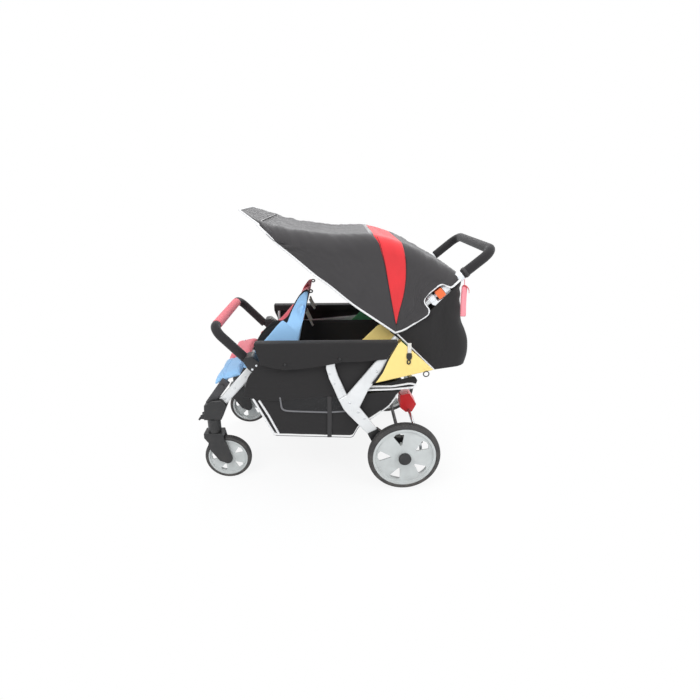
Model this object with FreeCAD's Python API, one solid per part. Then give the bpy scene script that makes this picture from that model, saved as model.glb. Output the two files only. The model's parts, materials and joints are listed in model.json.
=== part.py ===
import FreeCAD, Part
import math
import os

# A folding daycare stroller with four seats, two abreast in two rows.
# Millimetres, +Z up. The stroller faces -X, and its left side is -Y.
# Places along X are measured from a point under the seats, and finished
# pieces are moved so that the front tyres and the handle reach equally far.

os.makedirs("parts", exist_ok=True)
V = FreeCAD.Vector

# Fits and clearances
SPIN_FIT = 0.06
SEAT_FIT = 0.3
SOFT_GAP = 0.8
WASHER_GAP = 1.0
OVERRUN = 60.0

# Rear wheels
REAR_TYRE_D = 304.0
REAR_TYRE_W = 38.0
REAR_TYRE_DEPTH = 21.0
REAR_RIM_W = 34.0
REAR_HUB_D = 58.0
REAR_HUB_W = 46.0
REAR_AXLE_X = 289.0
REAR_TRACK = 704.0
AXLE_D = 16.0
CAP_D = 52.0
CAP_H = 8.0
RING_D = 112.0
RING_WALL = 14.0
RING_W = 10.0
RING_INSET = 6.0
NOTCHES = 24
NOTCH_DEPTH = 10.0

# Front wheels and casters
FRONT_TYRE_D = 200.0
FRONT_TYRE_W = 32.0
FRONT_TYRE_DEPTH = 16.0
FRONT_RIM_W = 28.0
FRONT_HUB_D = 34.0
FRONT_AXLE_X = -463.0
FRONT_TRACK = 500.0
FRONT_AXLE_D = 8.0
FRONT_SIDE_GAP = 3.0
TRAIL = 47.0
SWIVEL_PIN_D = 16.0
SWIVEL_PIN_L = 46.0
FORK_WALL = 8.0
CROWN_TOP = 225.0
WHEEL_ROOM = 7.0
FORK_BOSS_D = 42.0
HOUSING_W = 48.0
COLLAR_D = 54.0
COLLAR_H = 62.0
LEVER_PIN_D = 6.0
LEVER_W = 22.0
LEVER_CHEEK = 5.0

# Bars and tubes
BAR_T = 14.0
BAR_ROUND = 5.5
FRONT_LEG_W = 38.0
STRUT_W = 36.0
RAIL_W = 34.0
CROSS_TUBE_D = 16.0
TUBE_BEND = 22.0
ARMREST_D = 14.0
ARMREST_BEND = 30.0
TUBE_WALL = 1.5

# Half spacings of the layers, from the middle plane outwards
FRONT_Y = 250.0
BUMPER_Y = 255.4
TUBE_Y = 262.0
MID_BOW_Y = 277.0
FRONT_BOW_Y = 280.5
LIP_Y = 283.6
CANOPY_Y = 288.0
RAIL_Y = 293.0
WALL_Y = 302.0
LEG_Y = 317.0
FLAP_Y = 328.0

# Pivot of the fold, and the frame's corners in the side view
PIVOT = (203.0, 576.0)
PIVOT_PIN_D = 12.0
PIVOT_HEAD_D = 20.0
PIVOT_HEAD_T = 2.0
EYE_D = 40.0
RAIL_FRONT = (-296.0, 530.0)
RAIL_BACK = (221.0, 577.6)
ARMREST_Z = 628.0
ARMREST_X = (-281.0, 165.0)
LEG_TOP = (-329.0, 512.0)
LEG_FOOT = (-482.0, 345.0)
STRUT_FOOT = (-521.0, 352.0)
STRUT_TOP = (-443.0, 457.0)
STRUT_BAR = (-459.0, 435.0)
BRACKET_OUTLINE = (
    (-354.0, 496.0), (-334.0, 484.0), (-300.0, 498.0), (-282.0, 512.0), (-280.0, 546.0),
    (-316.0, 548.0), (-352.0, 520.0),
)
BRACKET_Y = (241.0, 301.6)
BUMPER_FOOT = (-316.0, 515.0)
BUMPER_TOP = (-473.0, 680.0)
BUMPER_D = 18.0
BUMPER_FOAM_D = 38.0
BUMPER_BEND = 48.0
ARM_FOAM_START = (-352.0, 552.8)
GRIP_L = 390.0
GRIP_D = 40.0

# Rear frame
SEAM = ((18.0, 397.0), (52.0, 418.0))
SEAM_ANGLE = 122.0
STAY_OUTLINE_REST = (
    (34.0, 462.0), (18.0, 500.0), (6.0, 540.0), (6.0, 572.0), (-30.0, 572.0), (-30.0, 532.0),
    (-18.0, 487.0), (-3.0, 452.0),
)
STAY_RIVET = (-12.0, 556.0)
SPACER_D = 16.0
LEG_OUTLINE_REST = (
    (186.0, 587.0), (221.0, 565.0), (168.0, 482.0), (137.0, 436.0), (104.0, 361.0), (195.0, 236.0),
    (157.0, 218.0), (95.0, 287.0), (56.0, 331.0), (38.0, 354.0),
)
HOLDER_OUTLINE = (
    (137.0, 243.0), (178.0, 264.0), (226.0, 226.0), (330.0, 222.0), (352.0, 220.0), (368.0, 212.0),
    (370.0, 196.0), (350.0, 188.0), (322.0, 176.0), (314.0, 140.0), (289.0, 126.0), (262.0, 134.0),
    (238.0, 168.0), (160.0, 196.0),
)
HOLDER_Y = (306.0, 327.5)
BRAKE_BAR = (354.0, 204.0)
BRAKE_BAR_D = 14.0
TOOTH_HALF = 1.9
TOOTH_REST_R = 58.0
BRAKE_ARM_W = 6.0
BRAKE_ARM = (
    (65.5, -5.0), (75.0, -5.0), (70.0, 40.0), (62.0, 66.0), (50.0, 62.0), (56.0, 50.0), (62.0, 30.0),
)
PEDAL_OUTLINE = (
    (310.0, 279.0), (353.0, 289.0), (389.0, 232.0), (370.0, 194.0), (340.0, 191.0), (312.0, 215.0),
)
PEDAL_W = 76.0
PEDAL_ROUND = 5.0

# Pusher, fold locks and handle
TUBE_D = 25.0
PUSHER_BEND_AT = (345.0, 765.0)
PUSHER_BEND = 150.0
PUSHER_TAIL = 20.0
LOCK = (409.0, 819.0)
LOCK_ANGLE = 39.6
LOWER_CUP = (-44.0, -20.0)
UPPER_CUP = (22.0, 44.0)
CUP_D = 38.0
CUP_END = 4.0
NECK_D = 16.0
BLOCK = (-10.0, 20.0)
BLOCK_H = 36.0
BLOCK_FIT = 0.4
HINGE_DROP = 32.0
HINGE_PIN_D = 8.0
HINGE_BOSS_D = 18.0
EAR_Y = (8.0, 14.0)
TONGUE_HALF = 7.6
EAR_OUTLINE = (
    (-44.0, 0.0), (-20.0, 0.0), (-20.0, -20.0), (0.0, -23.0), (0.0, -41.0), (-31.0, -35.0), (-44.0, -19.0),
)
TONGUE_OUTLINE = (
    (0.0, -21.5), (20.0, -19.5), (22.0, 0.0), (44.0, 0.0), (44.0, -19.0), (29.0, -37.0), (0.0, -41.0),
)
HANDLE_CORNER = 257.0
HANDLE_BEND = 50.0
HANDLE_FOAM_D = 38.0
FOAM_START = 114.0
CLAMP = (86.0, 112.0)
CLAMP_D = 40.0
CLAMP_STUB_D = 16.0

# Canopy
HUB = (238.0, 677.0)
HUB_D = 32.0
HUB_ALONG = 100.0
HUB_SLEEVE_D = 31.0
HUB_SLEEVE_L = 30.0
HUB_PIN_D = 8.0
BOW_W = 12.0
BOW_T = 3.0
BOW_BEND = 60.0
BOW_EYE_D = 22.0
MID_BOW = (377.0, 104.0)
FRONT_BOW = (650.0, 141.0)
CLOTH_T = 2.4
ROOF_ROUND = 40.0
ROOF = (
    (-356.0, 1124.0), (-292.0, 1105.0), (-239.0, 1088.0), (-136.0, 1073.0), (-10.0, 1060.0),
    (74.0, 1057.0), (116.0, 1055.0), (160.0, 1045.0), (245.0, 1021.0), (305.0, 993.0),
    (422.0, 926.0), (486.0, 890.0),
)
CANOPY_HEM = (
    (486.0, 879.0), (449.0, 844.0), (420.0, 862.0), (405.0, 858.0), (358.0, 821.0), (345.0, 794.0),
    (372.0, 759.0), (369.0, 747.0), (277.0, 687.0), (234.0, 677.0), (-267.0, 1081.0),
)
WEDGE_LEFT = (
    (150.0, 1090.0), (143.0, 1059.0), (169.0, 1028.0), (193.0, 949.0), (214.0, 845.0), (241.0, 717.0),
)
WEDGE_RIGHT = (
    (255.0, 749.0), (271.0, 818.0), (277.0, 882.0), (274.0, 948.0), (262.0, 1023.0), (262.0, 1090.0),
)
WEDGE_TIP = (247.0, 700.0)
VISOR_HALF = 150.0
VISOR_X = -356.0
VISOR_BACK_X = -262.0

# Seats and other soft goods
SEAT_Y = (4.0, 236.0)
WING_T = 4.0
CUSHION_T = 28.0
BACK_T = 24.0
CROWN = 9.0
PILLOW_SHARES = ((0.0, 0.55), (0.08, 0.86), (0.5, 1.0), (0.92, 0.86), (1.0, 0.55))
TUCK_SHARE = 0.35
CHANNEL = 3.0
CHANNEL_W = 13.0
CHANNEL_SHARES = (0.3, 0.7)
FRONT_SEAT = (-366.0, 505.0)
FRONT_SEAT_L = 186.0
FRONT_SEAT_ANGLE = -16.0
FRONT_WING = (
    (-374.0, 507.3), (-372.0, 540.0), (-280.0, 637.0), (-98.0, 835.0), (-87.0, 800.0),
    (-122.0, 690.0), (-140.0, 560.0), (-156.0, 500.0), (-176.0, 450.5),
)
LEG_REST = (-455.0, 449.0)
LEG_REST_L = 104.0
LEG_REST_ANGLE = 33.0
LEG_WING = (
    (-502.0, 443.0), (-496.0, 452.0), (-443.0, 531.0), (-392.0, 552.0), (-371.0, 541.0),
    (-363.0, 517.0), (-409.0, 450.0),
)
FRONT_BACK = (-151.0, 466.0)
FRONT_BACK_L = 350.0
FRONT_BACK_ANGLE = 77.5
REAR_SEAT = (-45.0, 472.0)
REAR_SEAT_L = 190.0
REAR_SEAT_ANGLE = -13.0
REAR_WING = (
    (-45.0, 472.0), (-48.0, 510.0), (60.0, 560.0), (109.0, 641.0), (178.0, 713.0), (236.0, 690.0),
    (272.0, 640.0), (290.0, 560.0), (238.0, 486.0), (140.0, 429.3),
)
REAR_BACK = (158.0, 455.0)
REAR_BACK_L = 290.0
REAR_BACK_ANGLE = 15.0
FRONT_TUBES_X = (-262.0, -200.0)
REAR_TUBES_X = (-5.0, 105.0)
REAR_HOOP_START_X = 45.0
REAR_HOOP = (330.0, 437.0)
PANEL_T = 3.0
PANEL_OUTLINE = (
    (-304.0, 638.0), (242.0, 638.0), (250.0, 636.0), (155.0, 451.0), (88.0, 415.0), (24.0, 403.0),
    (-369.0, 409.0), (-279.0, 544.0),
)
FLAP_OUTLINE = (
    (-304.0, 638.0), (242.0, 638.0), (250.0, 636.0), (208.0, 553.0), (41.0, 552.0), (-192.0, 546.0),
    (-284.0, 553.0),
)
ROLL_TOP = 641.0
LIP_LOW = 612.0
LIP_T = 2.0
SIDE_OUTLINE = (
    (250.0, 636.0), (275.0, 634.0), (340.0, 575.0), (405.0, 508.0), (155.0, 449.0), (208.0, 553.0),
)
BASKET_OUTLINE = (
    (-333.0, 412.0), (-327.0, 391.0), (-255.0, 205.0), (66.0, 190.0), (95.0, 269.0),
    (272.0, 426.0), (120.0, 414.0),
)
BASKET_ROOM = (
    (-329.0, 412.0), (-323.0, 392.0), (-252.3, 209.0), (63.3, 194.0), (91.5, 271.0), (268.0, 427.0),
    (268.0, 700.0), (-329.0, 700.0),
)
BASKET_WALL = 4.0
DROP_Y = 241.0
DROP_T = 2.5
DROP_SIDE = (
    (292.0, 640.0), (348.0, 770.0), (405.0, 846.0), (487.0, 872.0), (498.0, 727.0), (531.0, 616.0),
    (521.0, 543.0), (405.0, 510.0),
)
SKIRT_Y = 274.8
SKIRT_OUTLINE = ((279.0, 632.0), (300.0, 668.0), (350.0, 765.0), (394.0, 768.0), (405.0, 512.0))
STRAP_W = 28.0
STRAP_T = 3.0
STRAP_HANG = 150.0
STRAP_ALONG = 134.0
WEBBING = ((262.0, 630.0), (278.0, 640.0), (304.0, 592.0), (288.0, 582.0))
BUCKLE = ((284.0, 584.0), (306.0, 594.0), (316.0, 570.0), (302.0, 556.0), (288.0, 562.0))
BUCKLE_T = 6.0
BUCKLE_ROUND = 1.5
RING_AT = (366.0, 499.0)
DRING_R = 11.0
DRING_ROD = 2.0


# Helpers

def polar(x, z, length, angle):
    """The point (x, z) moved by a length at an angle above +X, in the side view."""
    turn = math.radians(angle)
    return (x + length * math.cos(turn), z + length * math.sin(turn))


def slab(points, y0, y1):
    """A side-view outline, made solid from y0 to y1."""
    corners = [V(x, y0, z) for x, z in points]
    wire = Part.makePolygon(corners + corners[:1])
    return Part.Face(wire).extrude(V(0, y1 - y0, 0))


def left(points, inner, outer):
    """A side-view outline in a layer of the left side."""
    return slab(points, -outer, -inner)


def other_side(shape):
    return shape.mirror(V(0, 0, 0), V(0, 1, 0))


def both(shape):
    """The left piece and its mirror image on the right."""
    return Part.makeCompound([shape, other_side(shape)])


def biggest(shape):
    return max(shape.Solids, key=lambda s: s.Volume)


def place(point, y):
    return V(point[0], y, point[1])


def rod(point, radius, y0, y1):
    """A round bar across the stroller."""
    return Part.makeCylinder(radius, y1 - y0, place(point, y0), V(0, 1, 0))


def left_rod(point, radius, inner, outer):
    return rod(point, radius, -outer, -inner)


def ribbon(points, thick):
    """A side-view line thickened towards its left-hand side."""
    line = [place(p, 0) for p in points]
    inner = []
    for n, point in enumerate(line):
        ahead = line[min(n + 1, len(line) - 1)] - line[max(n - 1, 0)]
        side = V(-ahead.z, 0, ahead.x).normalize()
        inner.append((point.x + side.x * thick, point.z + side.z * thick))
    return list(points) + inner[::-1]


def bent_path(points, radius):
    """Straight runs joined by tangent arcs of one radius."""
    edges = []
    start = points[0]
    for before, corner, after in zip(points, points[1:], points[2:]):
        back = (before - corner).normalize()
        ahead = (after - corner).normalize()
        half = back.getAngle(ahead) / 2
        first = corner + back * (radius / math.tan(half))
        last = corner + ahead * (radius / math.tan(half))
        inward = (back + ahead).normalize()
        middle = corner + inward * (radius / math.sin(half) - radius)
        edges.append(Part.LineSegment(start, first).toShape())
        edges.append(Part.Arc(first, middle, last).toShape())
        start = last
    edges.append(Part.LineSegment(start, points[-1]).toShape())
    return Part.Wire(edges)


def bent_rod(points, radius, bend):
    """A round rod along straight runs with bends."""
    circle = Part.makeCircle(radius, points[0], points[1] - points[0])
    return bent_path(points, bend).makePipeShell([Part.Wire(circle)], True, False)


def bent_tube(points, outer, inner, bend):
    """A tube, or foam round a tube."""
    return bent_rod(points, outer, bend).cut(bent_rod(points, inner, bend))


def bar(start, end, width):
    """A flat-oval bar between two side-view points, lying in the middle plane."""
    run = math.dist(start, end)
    r = BAR_T / 2
    flat = width / 2 - r
    low = [V(0, -r, -flat), V(0, r, -flat), V(0, r, flat), V(0, -r, flat)]
    wire = Part.Wire([
        Part.Arc(low[0], V(0, 0, -flat - r), low[1]).toShape(),
        Part.LineSegment(low[1], low[2]).toShape(),
        Part.Arc(low[2], V(0, 0, flat + r), low[3]).toShape(),
        Part.LineSegment(low[3], low[0]).toShape(),
    ])
    solid = Part.Face(wire).extrude(V(run, 0, 0))
    rise = math.degrees(math.atan2(end[1] - start[1], end[0] - start[0]))
    solid.rotate(V(0, 0, 0), V(0, 1, 0), -rise)
    solid.translate(place(start, 0))
    return solid


def shifted(shape, y):
    piece = shape.copy()
    piece.translate(V(0, y, 0))
    return piece


def softened(solid, radius, rims):
    """Fillets round the two faces of a slab, or else on its corners across the stroller."""
    chosen = []
    for edge in solid.Edges:
        across = abs(edge.tangentAt(edge.FirstParameter).y) > math.sqrt(0.5)
        if across != rims:
            chosen.append(edge)
    return solid.makeFillet(radius, chosen)


def pillow(point, angle, length, y0, y1, thick):
    """A padded panel on a flat base that starts at a point and runs at an angle."""
    sections = []
    for share, full in PILLOW_SHARES:
        low = polar(*point, length * share, angle)
        edge = polar(*low, thick * full, angle + 90)
        crest = polar(*low, (thick + CROWN) * full, angle + 90)
        tuck = thick * (1 - full) * TUCK_SHARE
        corners = [place(low, y0 + tuck), place(low, y1 - tuck), place(edge, y1 - tuck), place(edge, y0 + tuck)]
        sections.append(Part.Wire([
            Part.LineSegment(corners[0], corners[1]).toShape(),
            Part.LineSegment(corners[1], corners[2]).toShape(),
            Part.Arc(corners[2], place(crest, (y0 + y1) / 2), corners[3]).toShape(),
            Part.LineSegment(corners[3], corners[0]).toShape(),
        ]))
    body = Part.makeLoft(sections, True, False)
    for share in CHANNEL_SHARES:
        middle = polar(*point, length * share, angle)
        low = polar(*middle, thick + CROWN - CHANNEL * 2, angle + 90)
        high = polar(*middle, thick + CROWN + CHANNEL, angle + 90)
        groove = [low, polar(*high, CHANNEL_W / 2, angle), polar(*high, -CHANNEL_W / 2, angle)]
        body = body.cut(slab(groove, y0, y1))
    return body


def save(name, shape):
    piece = shape.copy() if shape.ShapeType == "Compound" else shape.removeSplitter()
    piece.translate(V(-CENTRE_X, 0, 0))
    piece.exportStep("parts/" + name + ".step")


def save_pair(name, shape):
    save(name + "_left", shape)
    save(name + "_right", other_side(shape))


# Derived places

REAR_AXLE = (REAR_AXLE_X, REAR_TYRE_D / 2)
FRONT_AXLE = (FRONT_AXLE_X, FRONT_TYRE_D / 2)
WHEEL_Y = REAR_TRACK / 2
CASTER_Y = FRONT_TRACK / 2
SWIVEL_X = FRONT_AXLE_X - TRAIL


def lock_point(along, up):
    """A place in the lock's own frame: along the tube and above its middle line."""
    x, z = polar(*LOCK, along, LOCK_ANGLE)
    return polar(x, z, up, LOCK_ANGLE + 90)


HANDLE = lock_point(HANDLE_CORNER, 0)
HINGE = lock_point(0, -HINGE_DROP)
CENTRE_X = (FRONT_AXLE_X - FRONT_TYRE_D / 2 + HANDLE[0] + HANDLE_FOAM_D / 2) / 2


# Wheels

WINDOW_SHARES = ((0.38, 0.0), (0.80, -13.0), (0.85, -5.0), (0.85, 5.0), (0.80, 13.0))
WINDOWS = 5
WINDOW_TURN = 33.0
WINDOW_ROUND_SHARE = 0.03
LIP_SHARE = 0.9
STEP_SHARE = 0.62
WEB_SHARE = 0.2
HUB_SHARE = 0.9
TYRE_SHARES = ((0.0, 0.9), (0.35, 1.0), (0.72, 0.86), (0.93, 0.52), (1.0, 0.2))


def rim(tyre_d, depth, width, hub_d, hub_w, bore):
    """A dished plastic rim with five windows, its outer face towards -Y."""
    outer = tyre_d / 2 - depth
    lip = outer * LIP_SHARE
    hub = hub_d / 2
    half = width / 2
    web = width * WEB_SHARE
    step = half * STEP_SHARE
    near = half * HUB_SHARE
    profile = [
        (bore, -hub_w / 2), (hub, -hub_w / 2), (hub, -near), (lip, -step), (lip + web / 2, -half),
        (outer, -half), (outer, half), (lip, half), (lip, web - step), (hub, web - near),
        (hub, hub_w / 2), (bore, hub_w / 2),
    ]
    corners = [V(r, y, 0) for r, y in profile]
    body = Part.Face(Part.makePolygon(corners + corners[:1])).revolve(V(0, 0, 0), V(0, 1, 0), 360)
    for n in range(WINDOWS):
        turn = WINDOW_TURN + 360 * n / WINDOWS
        points = [polar(0, 0, outer * share, turn + spread) for share, spread in WINDOW_SHARES]
        body = body.cut(softened(slab(points, -width, width), outer * WINDOW_ROUND_SHARE, False))
    return body


def tyre(tyre_d, depth, width):
    """A rubber tyre with rounded shoulders, seated on the rim."""
    seat = tyre_d / 2 - depth
    side = [(seat + depth * rise, width / 2 * wide) for rise, wide in TYRE_SHARES]
    corners = [V(r, -y, 0) for r, y in side] + [V(r, y, 0) for r, y in reversed(side)]
    return Part.Face(Part.makePolygon(corners + corners[:1])).revolve(V(0, 0, 0), V(0, 1, 0), 360)


def wheel_at(shape, axle, y):
    piece = shape.copy()
    piece.translate(place(axle, y))
    return piece


BAR_OFFSET = (BRAKE_BAR[0] - REAR_AXLE[0], BRAKE_BAR[1] - REAR_AXLE[1])
BAR_TURN = math.atan2(BAR_OFFSET[1], BAR_OFFSET[0])
TOOTH_TURN = math.degrees(BAR_TURN - math.acos(RING_D / 2 / math.hypot(*BAR_OFFSET)))


def brake_ring():
    """The notched ring on the inner face of a rear rim."""
    outer = RING_D / 2
    web = REAR_RIM_W * WEB_SHARE
    low = web / 2 - REAR_RIM_W / 2 * HUB_SHARE
    high = RING_INSET + RING_W
    ring = rod((0, 0), outer, low, high).cut(rod((0, 0), outer - RING_WALL, low - web, high + web))
    wide = math.pi * RING_D / NOTCHES / 2
    corner = V(outer - NOTCH_DEPTH, RING_INSET, -wide / 2)
    for n in range(NOTCHES):
        notch = Part.makeBox(RING_WALL, RING_W + web, wide, corner)
        notch.rotate(V(0, 0, 0), V(0, 1, 0), 360 * n / NOTCHES - TOOTH_TURN)
        ring = ring.cut(notch)
    return ring


def make_wheels():
    rear = rim(REAR_TYRE_D, REAR_TYRE_DEPTH, REAR_RIM_W, REAR_HUB_D, REAR_HUB_W, AXLE_D / 2 + SPIN_FIT)
    save_pair("rear_rim", wheel_at(rear.fuse(brake_ring()), REAR_AXLE, -WHEEL_Y))
    rear_tyre = tyre(REAR_TYRE_D, REAR_TYRE_DEPTH, REAR_TYRE_W)
    save_pair("rear_tyre", wheel_at(rear_tyre, REAR_AXLE, -WHEEL_Y))
    hub_w = FRONT_TYRE_W + FRONT_SIDE_GAP
    bore = FRONT_AXLE_D / 2 + SPIN_FIT
    front = rim(FRONT_TYRE_D, FRONT_TYRE_DEPTH, FRONT_RIM_W, FRONT_HUB_D, hub_w, bore)
    save_pair("front_rim", wheel_at(front, FRONT_AXLE, -CASTER_Y))
    front_tyre = tyre(FRONT_TYRE_D, FRONT_TYRE_DEPTH, FRONT_TYRE_W)
    save_pair("front_tyre", wheel_at(front_tyre, FRONT_AXLE, -CASTER_Y))


# Casters

FORK_OUTLINE = (
    (-552.0, CROWN_TOP), (-474.0, CROWN_TOP), (-468.0, 193.0), (-442.0, 108.0), (-480.0, 86.0),
    (-496.0, 92.0), (-541.0, 160.0), (-536.0, 180.0), (-552.0, 204.0),
)
HOUSING_OUTLINE = (
    (-546.0, 286.0), (-540.0, 352.0), (-505.0, 374.0), (-466.0, 378.0), (-446.0, 350.0), (-474.0, 286.0),
)
LEVER_PIN = (-553.0, 300.0)
LEVER_BOSS = ((-560.0, 290.0), (-560.0, 306.0), (-540.0, 314.0), (-540.0, 287.0))
LEVER_OUTLINE = ((-557.0, 302.0), (-573.0, 285.0), (-568.0, 280.0), (-549.0, 296.0))


def make_caster_fork():
    """A crown on a swivel pin, with two arms swept back to the axle."""
    gap = FRONT_TYRE_W / 2 + FRONT_SIDE_GAP
    inner = CASTER_Y - gap - FORK_WALL
    outer = CASTER_Y + gap + FORK_WALL
    body = left(FORK_OUTLINE, inner, outer)
    body = body.fuse(left_rod(FRONT_AXLE, FORK_BOSS_D / 2, inner, outer))
    body = body.cut(left_rod(FRONT_AXLE, FRONT_TYRE_D / 2 + WHEEL_ROOM, CASTER_Y - gap, CASTER_Y + gap))
    pin = Part.makeCylinder(SWIVEL_PIN_D / 2, SWIVEL_PIN_L, V(SWIVEL_X, -CASTER_Y, CROWN_TOP))
    axle = left_rod(FRONT_AXLE, FRONT_AXLE_D / 2, inner, outer)
    save_pair("caster_fork", body.fuse([pin, axle]))


def make_caster_housings(front_leg, strut):
    """The moulded head that holds the leg, the strut and the swivel pin."""
    half = HOUSING_W / 2
    body = softened(left(HOUSING_OUTLINE, CASTER_Y - half, CASTER_Y + half), BAR_ROUND, True)
    collar = Part.makeCylinder(COLLAR_D / 2, COLLAR_H, V(SWIVEL_X, -CASTER_Y, CROWN_TOP + WASHER_GAP))
    cheek = LEVER_W / 2 + LEVER_CHEEK
    boss = left(LEVER_BOSS, CASTER_Y - cheek, CASTER_Y + cheek)
    slot_half = LEVER_W / 2 + SEAT_FIT
    slot_back = HOUSING_OUTLINE[0][0]
    corner = V(slot_back - OVERRUN, -CASTER_Y - slot_half, LEVER_PIN[1] - OVERRUN / 2)
    slot = Part.makeBox(OVERRUN, slot_half * 2, OVERRUN, corner)
    body = body.fuse([collar, boss]).cut(slot)
    depth = SWIVEL_PIN_L + WASHER_GAP
    bore = Part.makeCylinder(SWIVEL_PIN_D / 2 + SPIN_FIT, depth, V(SWIVEL_X, -CASTER_Y, CROWN_TOP))
    lever_bore = left_rod(LEVER_PIN, LEVER_PIN_D / 2 + SPIN_FIT, CASTER_Y - cheek, CASTER_Y + cheek)
    save("caster_housings", both(body.cut([bore, lever_bore, front_leg, strut])))


def make_swivel_lock():
    half = LEVER_W / 2
    reach = half + LEVER_CHEEK - SEAT_FIT
    lever = left(LEVER_OUTLINE, CASTER_Y - half, CASTER_Y + half)
    boss = left_rod(LEVER_PIN, LEVER_PIN_D * 0.9, CASTER_Y - half, CASTER_Y + half)
    pin = left_rod(LEVER_PIN, LEVER_PIN_D / 2, CASTER_Y - reach, CASTER_Y + reach)
    save_pair("swivel_lock", lever.fuse([boss, pin]))


# Front frame and rails

def make_front_frame():
    """Legs, struts, bumper and brackets, returning the side rail that they hold."""
    rail = shifted(bar(RAIL_FRONT, RAIL_BACK, RAIL_W), -RAIL_Y)
    leg = shifted(bar(LEG_FOOT, LEG_TOP, FRONT_LEG_W), -FRONT_Y)
    strut = shifted(bar(STRUT_FOOT, STRUT_TOP, STRUT_W), -FRONT_Y)
    foot_bar = rod(STRUT_BAR, CROSS_TUBE_D / 2, -FRONT_Y - BAR_T, FRONT_Y + BAR_T)
    drilled = biggest(strut.cut([foot_bar, leg]))
    save("footrest_frame", Part.makeCompound([drilled, other_side(drilled), foot_bar]))
    save("front_legs", both(leg))
    make_caster_housings(leg, strut)

    near = [place(BUMPER_FOOT, -BUMPER_Y), place(BUMPER_TOP, -BUMPER_Y)]
    far = [V(p.x, BUMPER_Y, p.z) for p in reversed(near)]
    bumper = bent_rod(near + far, BUMPER_D / 2, BUMPER_BEND).cut([leg, other_side(leg)])
    save("bumper_bar", biggest(bumper))
    bracket = softened(left(BRACKET_OUTLINE, *BRACKET_Y), BAR_ROUND, False)
    save("bumper_brackets", both(biggest(bracket.cut([leg, rail, bumper]))))

    end = place(BUMPER_TOP, -GRIP_L / 2 - SEAT_FIT)
    foam_line = [place(ARM_FOAM_START, -BUMPER_Y), near[1], end]
    save("bumper_arm_foam", both(bent_tube(foam_line, BUMPER_FOAM_D / 2, BUMPER_D / 2, BUMPER_BEND)))
    grip = rod(BUMPER_TOP, GRIP_D / 2, -GRIP_L / 2, GRIP_L / 2)
    save("bumper_grip", grip.cut(rod(BUMPER_TOP, BUMPER_D / 2, -GRIP_L, GRIP_L)))
    return rail


def make_rails(rail):
    layer = (RAIL_Y - BAR_T, RAIL_Y + BAR_T)
    holes = [left_rod(PIVOT, PIVOT_PIN_D / 2, *layer), left_rod(STAY_RIVET, SPACER_D / 4, *layer)]
    save("side_rails", both(rail.cut(holes)))


def make_armrests(rail):
    x0, x1 = ARMREST_X
    points = [V(x0, -RAIL_Y, RAIL_FRONT[1]), V(x0, -RAIL_Y, ARMREST_Z), V(x1, -RAIL_Y, ARMREST_Z),
              V(x1, -RAIL_Y, RAIL_BACK[1])]
    rest = bent_rod(points, ARMREST_D / 2, ARMREST_BEND)
    save("armrest_rails", both(biggest(rest.cut(rail))))


def under_rail(x):
    """The height at which the rail's flat faces end, on its underside."""
    share = (x - RAIL_FRONT[0]) / (RAIL_BACK[0] - RAIL_FRONT[0])
    return RAIL_FRONT[1] + share * (RAIL_BACK[1] - RAIL_FRONT[1]) - (RAIL_W - BAR_T) / 2


def make_seat_tubes(rail):
    """Tubes hung from the rails, under the seats and behind them."""
    r = CROSS_TUBE_D / 2
    runs = [(x, FRONT_SEAT, FRONT_SEAT_ANGLE) for x in FRONT_TUBES_X]
    runs += [(x, REAR_SEAT, REAR_SEAT_ANGLE) for x in REAR_TUBES_X]
    lines = []
    for x, seat, angle in runs:
        slope = math.radians(angle)
        z = seat[1] + (x - seat[0]) * math.tan(slope) - (r + SEAT_FIT) / math.cos(slope)
        lines.append([V(x, -RAIL_Y, under_rail(x)), V(x, -RAIL_Y, z)])
    hang = V(REAR_HOOP_START_X, -RAIL_Y, under_rail(REAR_HOOP_START_X))
    lines.append([hang, V(hang.x, hang.y, REAR_HOOP[1]), place(REAR_HOOP, -RAIL_Y)])
    tubes = []
    for near in lines:
        far = [V(p.x, RAIL_Y, p.z) for p in reversed(near)]
        tube = bent_rod(near + far, r, TUBE_BEND).cut([rail, other_side(rail)])
        tubes.append(biggest(tube))
    save("seat_tubes", Part.makeCompound(tubes))


def make_pivot_pins():
    """A headed pin on each side, through pusher, rail, panel and rear leg."""
    inner = TUBE_Y - TUBE_D / 2 - WASHER_GAP
    outer = LEG_Y + BAR_T / 2 + WASHER_GAP
    r = PIVOT_HEAD_D / 2
    pieces = [
        left_rod(PIVOT, r, inner - PIVOT_HEAD_T, inner),
        left_rod(PIVOT, r, TUBE_Y + TUBE_D / 2 + WASHER_GAP, RAIL_Y - BAR_T / 2),
        left_rod(PIVOT, r, RAIL_Y + BAR_T / 2, LEG_Y - BAR_T / 2 - WASHER_GAP),
        left_rod(PIVOT, r, outer, outer + PIVOT_HEAD_T),
    ]
    pin = left_rod(PIVOT, PIVOT_PIN_D / 2, inner - PIVOT_HEAD_T, outer + PIVOT_HEAD_T)
    save("pivot_pins", both(pin.fuse(pieces)))


# Rear frame

def make_stays():
    low = [polar(*p, SEAT_FIT, SEAM_ANGLE) for p in SEAM]
    stay = left(low + list(STAY_OUTLINE_REST), LEG_Y - BAR_T / 2, LEG_Y + BAR_T / 2)
    stay = softened(stay, BAR_ROUND, True)
    spacer = left_rod(STAY_RIVET, SPACER_D / 2, RAIL_Y + BAR_T / 2, LEG_Y)
    rivet = left_rod(STAY_RIVET, SPACER_D / 4, RAIL_Y - BAR_T / 2, LEG_Y)
    save("leg_stays", both(stay.fuse([spacer, rivet])))


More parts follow.
